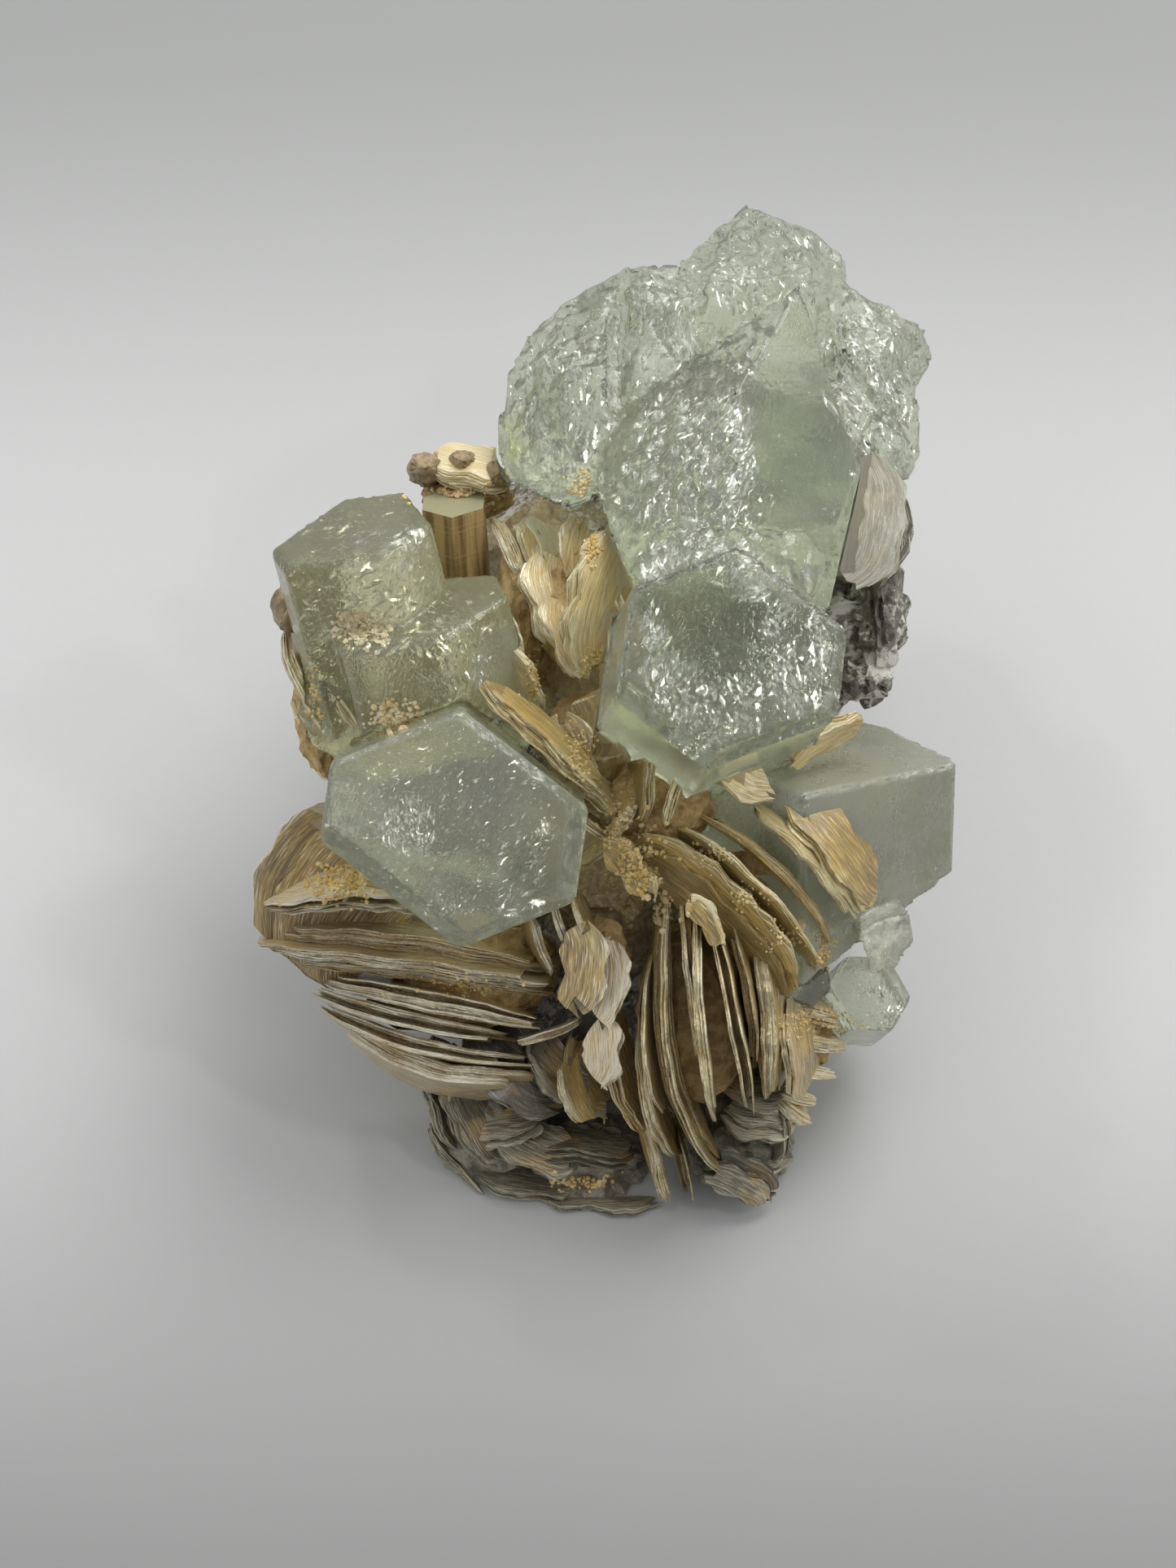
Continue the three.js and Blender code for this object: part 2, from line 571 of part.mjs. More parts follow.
const RIGHT_LEDGE = {
  roots: [{ at: [20.5, -25.4, -2.5], radii: [5, 3.4, 5], seed: 23 }],
  books: [
    { from: [17.2, -22.4, 6], to: [28, -25, 1.5], bow: 0.6, thick: 1.7, depth: 9, lean: 18 },
    { from: [17.6, -24.8, 5.4], to: [27.4, -26.6, 1], bow: 0.2, thick: 1.5, depth: 9, lean: 6 },
    { from: [18, -27, 3.6], to: [26.4, -28.8, 0], bow: -0.3, thick: 1.4, depth: 8, lean: -4 },
    { from: [18.4, -29.4, 2.4], to: [24.4, -31.6, -1], bow: -0.3, thick: 1.3, depth: 8, lean: -10 },
    { from: [18.4, -31.6, 1.2], to: [23, -35.4, -2], bow: 0, thick: 1.4, depth: 8, lean: 14 },
  ],
};

const BASE_LEFT = {
  roots: [
    { at: [-9.5, -33, -6], radii: [7, 7.5, 6], seed: 25 },
    { at: [-1, -37.5, -8], radii: [8, 5.5, 6], seed: 26 },
  ],
  books: [
    {
      from: [-15.4, -27, 1.5], to: [-7.6, -36, 0.5],
      thick: 1.4, depth: 7, lean: 74, bow: 0.6, swell: 0.6,
    },
    { from: [-17.8, -27, -1], to: [-13.2, -39, -4], thick: 1.8, depth: 9, lean: 34, bow: -0.8 },
    { from: [-14, -37, -3], to: [-4, -36.4, -0.8], thick: 1.4, depth: 7, lean: 64, bow: 0.4 },
    { from: [-12.8, -41.4, -4.2], to: [-0.5, -43.4, -3.6], thick: 1.6, depth: 8, lean: 50, bow: 0.4 },
    { from: [-6, -42.6, -3.2], to: [8, -43.2, -2.8], thick: 1.2, depth: 7, lean: 30, bow: -0.4 },
    { from: [-6.4, -37.8, -0.6], to: [4.4, -39, 0.3], thick: 1.1, depth: 7, lean: 28, bow: 0.5 },
    { from: [-16.6, -35, -4], to: [-9, -43, -5], thick: 1.4, depth: 8, lean: 14, bow: -0.5 },
  ],
};

const BASE_RIGHT = {
  roots: [{ at: [15, -35, -5], radii: [6.5, 6, 6], seed: 27 }],
  books: [
    { from: [20.8, -38, -2.5], to: [13.4, -34, 1], thick: 1.2, depth: 6, lean: 70, bow: 0.5 },
    { from: [11, -38.6, -1], to: [21, -39.4, -3.6], thick: 1.3, depth: 7, lean: 44, bow: -0.4 },
    { from: [12, -40.6, -2.8], to: [19.6, -41, -4], thick: 1, depth: 6, lean: 26, bow: -0.3 },
    { from: [20.4, -33, 1], to: [19.4, -38.6, -1.6], thick: 1.2, depth: 7, lean: -30, bow: 0.4 },
  ],
};

/** Books on the hidden back of the rock, set in the same way on a frame turned to face backwards. */
const REAR_BOOKS = {
  roots: [{ at: [6, -2, -6], radii: [11, 9, 8], seed: 29 }],
  books: [
    { from: [-6, -8, 0], to: [8, -12, 1], bow: -1, thick: 1.6, depth: 9, lean: -10, arch: 1 },
    { from: [-7, -5, 1.5], to: [9, -9, 2.5], bow: -1, thick: 1.5, depth: 10, lean: 0, arch: 1 },
    { from: [-6, -1.5, 2], to: [12, -5, 3], bow: -0.6, thick: 1.7, depth: 10, lean: 8, arch: 1 },
    { from: [-4, 2.5, 2], to: [14, 0, 3], bow: 0.4, thick: 1.4, depth: 10, lean: 14, arch: 1 },
    { from: [0, 6, 1], to: [15, 4.5, 2], bow: 0.8, thick: 1.5, depth: 9, lean: 22, arch: 1 },
  ],
};

const REAR_PLACE = { at: [4, 37, 20], turn: 180, tilt: 62 }; // base frame: turned round, tipped back

// ---------------------------------------------------------------- rock

/** Lumps of the pegmatite, in the base's own frame: x across, y back, z up. */
const ROCK_LUMPS = [
  { at: [2, 4, 12], radii: [21, 28, 17], rough: 0.1, detail: 2, seed: 31 },
  { at: [5, 20, 21], radii: [23, 19, 15], rough: 0.12, detail: 2, seed: 32 },
  { at: [23, 25, 21.5], radii: [10.5, 11, 13], rough: 0.16, detail: 2, seed: 33 },
  { at: [-15, 11, 15], radii: [13, 16, 13], rough: 0.13, detail: 1, seed: 34 },
  { at: [11, 34, 28], radii: [15, 11, 11], rough: 0.12, detail: 2, seed: 35 },
  { at: [-4, 28, 22], radii: [13, 12, 13], rough: 0.12, detail: 1, seed: 36 },
  { at: [3, -15, 9], radii: [17, 11, 10], rough: 0.12, detail: 1, seed: 37 },
  { at: [20, 4, 12], radii: [10, 14, 12], rough: 0.13, detail: 1, seed: 38 },
];

const FLOOR_SIZE = 200;

// ---------------------------------------------------------------- assembly

const faceToBase = new THREE.Matrix4().makeRotationX(radians(FACE_LEAN)).setPosition(0, 0, FACE_HEIGHT);
const baseToFace = faceToBase.clone().invert();
const still = new THREE.Matrix4();

/** The ground under the specimen up to a height, as a solid on the display face. */
function ground(height) {
  const block = new THREE.BoxGeometry(FLOOR_SIZE, FLOOR_SIZE, FLOOR_SIZE);
  block.translate(0, 0, height - FLOOR_SIZE / 2);
  return solidOf(block.applyMatrix4(baseToFace));
}

/** Solid of a mica cluster on the display face; frame places one laid out elsewhere. */
function mica(cluster, frame = still) {
  return (grow) => joined(micaCluster(cluster, grow).map((g) => solidOf(g.applyMatrix4(frame))));
}

/** Convex hollow that the rock leaves for a piece: its outermost corners, wrapped. */
function hollowFor(solid) {
  const { position } = geometryOf(solid).attributes;
  const corners = [];
  for (let i = 0; i < position.count; i++) {
    corners.push(new THREE.Vector3().fromBufferAttribute(position, i));
  }
  return solidOf(new ConvexGeometry(corners));
}

const rearFrame = new THREE.Matrix4()
  .makeRotationZ(radians(REAR_PLACE.turn))
  .multiply(new THREE.Matrix4().makeRotationX(radians(REAR_PLACE.tilt)))
  .setPosition(...REAR_PLACE.at)
  .premultiply(baseToFace);

const rockSolid = () => joined(ROCK_LUMPS.map((l) => solidOf(lump(l).applyMatrix4(baseToFace))));

/** Every piece, in the order in which they give way: a later piece is cut back from the earlier. */
const PIECES = [
  {
    name: "aquamarine_cluster",
    finish: BERYL,
    at: CENTRE_PRISM.at,
    solid: (grow) => joined([...CLUSTER_SHARDS.map((c) => shard(c, grow)), prism(CENTRE_PRISM, grow)]),
  },
  { name: "aquamarine_front_left", finish: CLEAR_BERYL, ...single(FRONT_LEFT_PRISM) },
  {
    name: "aquamarine_right",
    finish: GREEN_BERYL,
    at: RIGHT_PRISM.at,
    axis: RIGHT_PRISM.axis,
    solid: (grow) => joined([prism(RIGHT_PRISM, grow), shard(RIGHT_STEP, grow)]),
  },
  {
    name: "aquamarine_left",
    finish: BERYL,
    at: LEFT_PRISMS[0].at,
    axis: LEFT_PRISMS[0].axis,
    solid: (grow) => joined([...LEFT_PRISMS.map((p) => prism(p, grow)), shard(LEFT_LOBE, grow)]),
  },
  { name: "aquamarine_small_right", finish: CLEAR_BERYL, ...single(SMALL_RIGHT_PRISM) },
  { name: "aquamarine_pocket", finish: GREEN_BERYL, ...single(POCKET_PRISM) },
  { name: "clear_shard", finish: CLEAR_BERYL, ...single(CLEAR_SHARD) },
  { name: "bronze_prism", finish: GOLD_MICA, ...single(BRONZE_PRISM) },
  { name: "mica_golden_blade", finish: GOLD_MICA, at: [-6, 3, 16], solid: mica(GOLDEN_BLADE) },
  { name: "mica_front_fan", finish: SILVER_MICA, at: [10, -22, 6], solid: mica(FRONT_FAN) },
  { name: "mica_left_fan", finish: SILVER_MICA, at: [-12, -18, 4], solid: mica(LEFT_FAN) },
  { name: "mica_right_fan", finish: GOLD_MICA, at: [17, -8, 8], solid: mica(RIGHT_FAN) },
  { name: "mica_centre_books", finish: GOLD_MICA, at: [7, -2, 10], solid: mica(CENTRE_BOOKS) },
  { name: "mica_upper_books", finish: CREAM_MICA, at: [-1, 17, 6], solid: mica(UPPER_BOOKS) },
  { name: "mica_centre_plates", finish: CREAM_MICA, at: [1, -17, 8], solid: mica(CENTRE_PLATES) },
  { name: "mica_yellow_plates", finish: GOLD_MICA, at: [0, 4, 8], solid: mica(YELLOW_PLATES) },
  { name: "mica_back_left", finish: CREAM_MICA, at: [-12, 29, -2], solid: mica(BACK_LEFT_KNOBS) },
  { name: "mica_left_edge", finish: CREAM_MICA, at: [-27, 11, -2], solid: mica(LEFT_EDGE_BOOKS) },
  { name: "mica_striped_book", finish: SILVER_MICA, at: [28, 25, -4], solid: mica(STRIPED_BOOK) },
  { name: "mica_right_ledge", finish: CREAM_MICA, at: [21, -26, 0], solid: mica(RIGHT_LEDGE) },
  { name: "mica_base_right", finish: GREY_MICA, at: [15, -36, -4], solid: mica(BASE_RIGHT) },
  { name: "mica_base_left", finish: GREY_MICA, at: [-8, -35, -4], solid: mica(BASE_LEFT) },
  { name: "mica_rear_books", finish: GREY_MICA, at: [4, 30, -20], solid: mica(REAR_BOOKS, rearFrame) },
  { name: "pegmatite_rock", finish: ROCK, at: [0, 0, 0], solid: rockSolid, floor: 0, wraps: true },
];

/** The part of a piece's entry that a lone prism gives. */
function single(spec) {
  return { at: spec.at, axis: spec.axis, solid: (grow) => prism(spec, grow) };
}

const BASE_CLEARANCE = 0.5; // crystals and mica end this far above the floor

function build() {
  const specimen = new THREE.Group();
  const face = new THREE.Group();
  face.rotation.x = radians(FACE_LEAN);
  face.position.z = FACE_HEIGHT;
  specimen.add(face);

  const reserved = [];
  for (const { name, finish, at, axis = UPRIGHT, solid, floor = BASE_CLEARANCE, wraps } of PIECES) {
    let body = solid(0).subtract(ground(floor));
    for (const other of reserved) body = body.subtract(wraps ? hollowFor(other) : other);
    reserved.push(solid(GAP));
    const place = placed(at, axis);
    const geometry = geometryOf(largestBody(body)).applyMatrix4(place.clone().invert());
    const mesh = new THREE.Mesh(geometry, new THREE.MeshStandardMaterial(finish));
    mesh.name = name;
    mesh.applyMatrix4(place);
    face.add(mesh);
  }
  return specimen;
}

export default build();
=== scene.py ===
"""Fine shape and finishes of an aquamarine specimen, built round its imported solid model.

Pale green beryl crystals stand among books of muscovite mica on a lump of pegmatite. The tables are
in millimetres on the display face, as the part's own source has them: x across the specimen, y up
the face and z straight out of it. Every finished mesh is in metres in the frame of the base.
"""

import json
import logging
import math
import random
from dataclasses import dataclass
from enum import Enum
from functools import cache
from typing import Iterable, Optional, Sequence, Union

import bmesh
import bpy
from mathutils import Matrix, Vector
from mathutils.bvhtree import BVHTree

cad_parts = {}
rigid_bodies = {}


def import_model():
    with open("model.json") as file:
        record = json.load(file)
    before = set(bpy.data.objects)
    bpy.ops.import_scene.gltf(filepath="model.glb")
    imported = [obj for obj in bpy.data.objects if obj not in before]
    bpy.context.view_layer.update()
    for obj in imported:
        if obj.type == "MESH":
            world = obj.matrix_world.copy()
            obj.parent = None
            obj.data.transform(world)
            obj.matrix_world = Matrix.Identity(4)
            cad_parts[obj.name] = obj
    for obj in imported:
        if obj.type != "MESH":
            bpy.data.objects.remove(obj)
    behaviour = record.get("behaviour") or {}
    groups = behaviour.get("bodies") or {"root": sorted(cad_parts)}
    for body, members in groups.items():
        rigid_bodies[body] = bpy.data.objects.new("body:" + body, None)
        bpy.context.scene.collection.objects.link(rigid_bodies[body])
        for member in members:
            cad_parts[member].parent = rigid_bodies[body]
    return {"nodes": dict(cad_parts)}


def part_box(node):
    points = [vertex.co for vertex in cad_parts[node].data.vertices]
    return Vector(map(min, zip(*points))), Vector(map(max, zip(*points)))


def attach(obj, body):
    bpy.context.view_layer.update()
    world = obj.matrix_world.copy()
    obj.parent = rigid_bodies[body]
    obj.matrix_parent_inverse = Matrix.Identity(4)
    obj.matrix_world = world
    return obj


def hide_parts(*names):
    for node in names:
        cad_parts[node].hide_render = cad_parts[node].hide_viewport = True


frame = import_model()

log = logging.getLogger("aquamarine_specimen")

Triple = tuple[float, float, float]
Pair = tuple[float, float]
Colour = tuple[float, float, float]

MM = 0.001
FACE_LEAN = 32.0  # degrees the display face's own "up" is raised from the floor
FACE_HEIGHT = 27.0  # mm, floor to the display face's origin
FACE_TO_BASE = Matrix.Translation((0, 0, FACE_HEIGHT * MM)) @ Matrix.Rotation(
    math.radians(FACE_LEAN), 4, "X"
)
FACE_MM_TO_BASE = FACE_TO_BASE @ Matrix.Scale(MM, 4)
FACE_OUT = (FACE_TO_BASE.to_3x3() @ Vector((0, 0, 1))).normalized()
WINDOW_AT = (0.26, 0.30, 0.62)  # the main lamp, in metres
MIDDLE_AT = (0, 0.012, 0.03)  # the specimen's middle, in metres
WINDOW_WAY = FACE_TO_BASE.to_3x3().inverted() @ (Vector(WINDOW_AT) - Vector(MIDDLE_AT))
WINDOW_WAY.normalize()
FLAKE_WAY = Vector((0.12, 0.26, 0.96))  # which way the flakes of a veil face, on the display face
BERYL_IOR = 1.575
MERGE_WITHIN = 1e-7  # metres between corners that are one
CUT_GAP = 0.12  # mm kept clear round a crystal
GROUND_TOP = 0.3  # mm over the floor to which pieces that reach it are cut
GROUND_HALF = 0.1  # metres, half the side of the block that cuts them
SOUND_FROM, SOUND_WIDTH = 0.95, 0.045  # how level with a sound face a sound point is
FLAKE_GIRTH = (0.12, 0.3)  # a flake's height, and how far its corners are pushed, beside its size
ROCK_SEED, LUMP_SEED, CRUST_SEED = 77.0, 5.0, 40
WHITE = (1.0, 1.0, 1.0)
FLOAT, WHOLE, VECTOR = "NodeSocketFloat", "NodeSocketInt", "NodeSocketVector"
SHAPE, MATERIAL = "NodeSocketGeometry", "NodeSocketMaterial"
BODY = "root"
CRYSTAL_NODES = (
    "aquamarine_cluster",
    "aquamarine_front_left",
    "aquamarine_left",
    "aquamarine_right",
    "aquamarine_small_right",
    "aquamarine_pocket",
    "clear_shard",
    "bronze_prism",
)


class Slot(Enum):
    """Material slots of the part's record."""

    BERYL = "beryl"
    GOLD = "mica_gold"
    SILVER = "mica_silver"
    CREAM = "mica_cream"
    GREY = "mica_grey"
    ROCK = "rock"


# ---------------------------------------------------------------- node trees

Value = Union["Field", float, int, bool, str, Sequence[float], bpy.types.Material, None]


class Field:
    """A value inside a node tree that can be added, multiplied and passed on."""

    def __init__(self, tree: bpy.types.NodeTree, socket: bpy.types.NodeSocket) -> None:
        """Wraps an output socket of a tree."""
        self.tree = tree
        self.socket = socket

    def math(self, operation: str, *others: Value, clamp: bool = False) -> "Field":
        """A Math node on this value and others; clamp keeps its result between 0 and 1."""
        inputs = (self, *others)
        return read(self.tree, "ShaderNodeMath", inputs, operation=operation, use_clamp=clamp)

    def vector(self, operation: str, *others: Value) -> "Field":
        """A Vector Math node on this value and others."""
        return read(self.tree, "ShaderNodeVectorMath", (self, *others), operation=operation)

    def scaled(self, factor: Value) -> "Field":
        """This vector times a number."""
        inputs = {"Vector": self, "Scale": factor}
        return read(self.tree, "ShaderNodeVectorMath", inputs, operation="SCALE")

    def step(self, low: float, high: float) -> "Field":
        """Smooth step from 0 at low to 1 at high, or the other way round if high is less.

        Args:
            low: Where it is 0.
            high: Where it is 1.

        Returns:
            The step.
        """
        start, end, first, last = (low, high, 0.0, 1.0) if low < high else (high, low, 1.0, 0.0)
        inputs = {"Value": self, "From Min": start, "From Max": end, "To Min": first, "To Max": last}
        return read(self.tree, "ShaderNodeMapRange", inputs, interpolation_type="SMOOTHSTEP")

    def parts(self) -> list["Field"]:
        """The three numbers of this vector."""
        split = node(self.tree, "ShaderNodeSeparateXYZ", (self,))
        return [Field(self.tree, o) for o in split.outputs]

    def __add__(self, other: Value) -> "Field":
        """Sum with another value."""
        return self.math("ADD", other)

    def __sub__(self, other: Value) -> "Field":
        """Difference from another value."""
        return self.math("SUBTRACT", other)

    def __rsub__(self, other: float) -> "Field":
        """A plain number less this value."""
        return self.math("MULTIPLY_ADD", -1.0, other)

    def __mul__(self, other: Value) -> "Field":
        """Product with another value."""
        return self.math("MULTIPLY", other)

    def __truediv__(self, other: Value) -> "Field":
        """Quotient by another value."""
        return self.math("DIVIDE", other)

    def __pow__(self, other: Value) -> "Field":
        """Power of this value."""
        return self.math("POWER", other)

    __radd__, __rmul__ = __add__, __mul__


def node(
    tree: bpy.types.NodeTree,
    kind: str,
    inputs: Union[Sequence[Value], dict[str, Value]] = (),
    **settings: object,
) -> bpy.types.Node:
    """Adds a node.

    Args:
        tree: The tree it goes into.
        kind: The node's type name.
        inputs: Values or fields for its inputs, in order or by name. None leaves one as it is.
        **settings: Properties of the node, set before its inputs.

    Returns:
        The new node.
    """
    made = tree.nodes.new(kind)
    for name, value in settings.items():
        setattr(made, name, value)
    if isinstance(inputs, dict):
        sockets = [next(s for s in made.inputs if s.enabled and s.name == n) for n in inputs]
        inputs = list(inputs.values())
    else:
        sockets = made.inputs
    for socket, value in zip(sockets, inputs):
        if isinstance(value, Field):
            tree.links.new(value.socket, socket)
        elif value is not None:
            socket.default_value = value
    return made


def read(
    tree: bpy.types.NodeTree,
    kind: str,
    inputs: Union[Sequence[Value], dict[str, Value]] = (),
    result: str = "",
    **settings: object,
) -> Field:
    """Adds a node with settings and gives one of its results, the first unless it is named."""
    made = node(tree, kind, inputs, **settings)
    return Field(tree, next(o for o in made.outputs if o.enabled and result in ("", o.name)))


def combine(tree: bpy.types.NodeTree, x: Value, y: Value, z: Value) -> Field:
    """A vector from three numbers."""
    return read(tree, "ShaderNodeCombineXYZ", (x, y, z))


def noise(
    tree: bpy.types.NodeTree, at: Value, scale: Value = 1.0, detail: float = 2.0, rough: float = 0.5
) -> Field:
    """Smooth noise between 0 and 1, with scale waves to a unit and finer octaves by detail."""
    inputs = {"Vector": at, "Scale": scale, "Detail": detail, "Roughness": rough}
    return read(tree, "ShaderNodeTexNoise", inputs)


def facets(tree: bpy.types.NodeTree, at: Field, scale: Value) -> Field:
    """Broken facets: each cell of a pattern slopes its own way from its middle.

    Args:
        tree: The tree it goes into.
        at: Where it is read.
        scale: How many cells a unit has.

    Returns:
        Height over the cell's middle.
    """
    cells = node(tree, "ShaderNodeTexVoronoi", {"Vector": at, "Scale": scale})
    away = at.vector("SUBTRACT", Field(tree, cells.outputs["Position"]))
    tilt = Field(tree, cells.outputs["Color"]).vector("SUBTRACT", (0.5, 0.5, 0.5))
    return away.vector("DOT_PRODUCT", tilt)


def mix(tree: bpy.types.NodeTree, share: Value, *colours: Union[Field, Colour]) -> Field:
    """A blend of two colours.

    Args:
        tree: The tree it goes into.
        share: How much of the second colour, from 0 to 1.
        *colours: The two colours.

    Returns:
        The blend.
    """
    first, second = (c if isinstance(c, Field) else (*c, 1.0) for c in colours)
    inputs = {"Factor": share, "A": first, "B": second}
    return read(tree, "ShaderNodeMix", inputs, data_type="RGBA")


class Tree:
    """A node tree that is built in the script, with named inputs and outputs."""

    def __init__(self, name: str, kind: str, inputs: dict[str, tuple[str, Value]]) -> None:
        """Starts the tree.

        Args:
            name: Its name.
            kind: "GeometryNodeTree" or "ShaderNodeTree".
            inputs: Socket type and value of each named input.
        """
        self.tree = bpy.data.node_groups.new(name, kind)
        self.sockets: dict[str, str] = {}
        for label, (socket_type, value) in inputs.items():
            made = self.tree.interface.new_socket(label, in_out="INPUT", socket_type=socket_type)
            if value is not None:
                made.default_value = value
            self.sockets[label] = made.identifier
        self.entry = self.tree.nodes.new("NodeGroupInput")

    def get(self, name: str) -> Field:
        """A named input as a field."""
        return Field(self.tree, self.entry.outputs[name])

    def attribute(self, name: str, kind: str = "FLOAT") -> Field:
        """A named attribute as a field."""
        made = "GeometryNodeInputNamedAttribute"
        return read(self.tree, made, (name,), "Attribute", data_type=kind)

    def finish(self, socket_type: str, outputs: dict[str, Field]) -> None:
        """Adds the outputs and links them.

        Args:
            socket_type: Their type.
            outputs: Value of each named output.
        """
        for label in outputs:
            self.tree.interface.new_socket(label, in_out="OUTPUT", socket_type=socket_type)
        end = self.tree.nodes.new("NodeGroupOutput")
        for label, value in outputs.items():
            self.tree.links.new(value.socket, end.inputs[label])

    def dress(self, shape: Field) -> None:
        """Gives a shape the input material and ends the tree with it."""
        inputs = {"Geometry": shape, "Material": self.get("Finish")}
        self.finish(SHAPE, {"Shape": read(self.tree, "GeometryNodeSetMaterial", inputs)})

    def modify(self, piece: bpy.types.Object, values: dict[str, Value]) -> None:
        """Puts the tree on a piece and keeps what it makes, its inputs set by their identifiers.

        Args:
            piece: The object.
            values: Values of named inputs.
        """
        modifier = piece.modifiers.new(self.tree.name, "NODES")
        modifier.node_group = self.tree
        for name, value in values.items():
            modifier[self.sockets[name]] = value
        frozen(piece)

    def use(self, tree: bpy.types.NodeTree, values: dict[str, Value]) -> dict[str, Field]:
        """Places this shader group in a material's tree and gives each named output."""
        made = node(tree, "ShaderNodeGroup", values, node_tree=self.tree)
        return {o.name: Field(tree, o) for o in made.outputs}


# ---------------------------------------------------------------- materials


def blank_material(name: str) -> tuple[bpy.types.Material, bpy.types.NodeTree]:
    """A new material with an empty tree.

    Args:
        name: Its name.

    Returns:
        The material and its tree.
    """
    material = bpy.data.materials.new(name)
    material.use_nodes = True
    material.node_tree.nodes.clear()
    return material, material.node_tree


def object_place(tree: bpy.types.NodeTree) -> Field:
    """Where the surface is, in mm."""
    return read(tree, "ShaderNodeTexCoord", result="Object").scaled(1 / MM)


def drawn_out(
    tree: bpy.types.NodeTree, place: Field, axis: Vector, along: float, across: float
) -> Field:
    """A place scaled differently along an axis and across it, for fibres and streaks.

    Args:
        tree: The material's tree.
        place: Where the surface is.
        axis: The direction of the fibres.
        along: Scale along it.
        across: Scale across it.

    Returns:
        The scaled place.
    """
    side = axis.orthogonal().normalized()
    other = axis.cross(side).normalized()
    ways = (axis.normalized() * along, side * across, other * across)
    return combine(tree, *(place.vector("DOT_PRODUCT", tuple(way)) for way in ways))


def end_material(
    tree: bpy.types.NodeTree,
    relief: tuple[Field, float, float],
    inputs: dict[str, Value],
    distribution: str = "MULTI_GGX",
) -> bpy.types.Node:
    """Ends a material with a bump, its shader and the output.

    Args:
        tree: The material's tree.
        relief: Height of the bump, its strength and its depth in mm.
        inputs: The shader's other inputs by name.
        distribution: How the shader spreads its reflections.

    Returns:
        The output node.
    """
    height, strength, depth = relief
    bump = {"Strength": strength, "Distance": depth * MM, "Height": height}
    inputs = {**inputs, "Normal": read(tree, "ShaderNodeBump", bump)}
    shader = read(tree, "ShaderNodeBsdfPrincipled", inputs, distribution=distribution)
    return node(tree, "ShaderNodeOutputMaterial", {"Surface": shader})


# ---------------------------------------------------------------- meshes


def new_object(name: str, data: bpy.types.ID) -> bpy.types.Object:
    """Links a new object to the scene.

    Args:
        name: Its name.
        data: Its mesh, lamp or camera.

    Returns:
        The object.
    """
    made = bpy.data.objects.new(name, data)
    bpy.context.scene.collection.objects.link(made)
    return made


def shaped(name: str, work: bmesh.types.BMesh) -> bpy.types.Object:
    """A new object made of a working mesh, which is freed.

    Args:
        name: Its name.
        work: The working mesh.

    Returns:
        The object.
    """
    mesh = bpy.data.meshes.new(name)
    work.to_mesh(mesh)
    work.free()
    return new_object(name, mesh)


def frozen(piece: bpy.types.Object) -> bpy.types.Object:
    """Replaces a piece's mesh by what its modifiers make of it, and removes them.

    Args:
        piece: The object.

    Returns:
        The same object.
    """
    bpy.context.view_layer.update()
    evaluated = piece.evaluated_get(bpy.context.evaluated_depsgraph_get())
    mesh = bpy.data.meshes.new_from_object(evaluated)
    piece.modifiers.clear()
    mesh.name = piece.name
    piece.data = mesh
    return piece


def node_copy(name: str, source: str) -> bpy.types.Object:
    """A copy of a CAD node with its corners merged, so that it is closed.

    Args:
        name: The new object's name.
        source: The node's name.

    Returns:
        The copy.
    """
    work = bmesh.new()
    work.from_mesh(frame["nodes"][source].data)
    bmesh.ops.remove_doubles(work, verts=work.verts, dist=MERGE_WITHIN)
    return shaped(name, work)


def grained_copy(name: str, source: str, voxel: float, worn: int = 0) -> bpy.types.Object:
    """A copy of a CAD node with its points evenly spread.

    Args:
        name: The new object's name.
        source: The node's name.
        voxel: mm between its points.
        worn: How often its edges are smoothed.

    Returns:
        The copy.
    """
    piece = node_copy(name, source)
    remesh = piece.modifiers.new("grain", "REMESH")
    remesh.mode = "VOXEL"
    remesh.voxel_size = voxel * MM
    if worn:
        soften = piece.modifiers.new("worn edges", "SMOOTH")
        soften.iterations = worn
    return frozen(piece)


def grown_copy(source: str, by: float) -> bpy.types.Object:
    """A copy of a CAD node with every corner moved out along its normal.

    Args:
        source: The node's name.
        by: How far, in metres.

    Returns:
        The copy.
    """
    made = node_copy(f"cutter_{source}", source)
    normals = [v.normal.copy() for v in made.data.vertices]
    for vertex, normal in zip(made.data.vertices, normals):
        vertex.co += normal * by
    return made


def write(mesh: bpy.types.Mesh, values: dict[str, Sequence[float]], kind: str = "FLOAT") -> None:
    """Writes attributes on a mesh's points.

    Args:
        mesh: The mesh.
        values: The values of each named attribute.
        kind: Their data type.
    """
    for name, numbers in values.items():
        layer = mesh.attributes.new(name, kind, "POINT")
        layer.data.foreach_set("value" if kind == "FLOAT" else "vector", numbers)


def erase(mesh: bpy.types.Mesh, names: Sequence[str]) -> None:
    """Removes attributes that a finished mesh has no use for.

    Args:
        mesh: The mesh.
        names: Names of the attributes.
    """
    for name in names:
        if name in mesh.attributes:
            mesh.attributes.remove(mesh.attributes[name])


def report(piece: bpy.types.Object) -> None:
    """Logs a finished piece and its number of triangles."""
    triangles = sum(len(p.vertices) - 2 for p in piece.data.polygons)
    log.info("%s: %d triangles", piece.name, triangles)


def settle(piece: bpy.types.Object, slot: Slot, replaced: Sequence[str] = ()) -> bpy.types.Object:
    """Gives a finished piece its body, hides the nodes it stands for and logs it.

    Args:
        piece: The object.
        slot: Not used.
        replaced: CAD nodes that it replaces.

    Returns:
        The same object.
    """
    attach(piece, BODY)
    if replaced:
        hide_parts(*replaced)
    report(piece)
    return piece


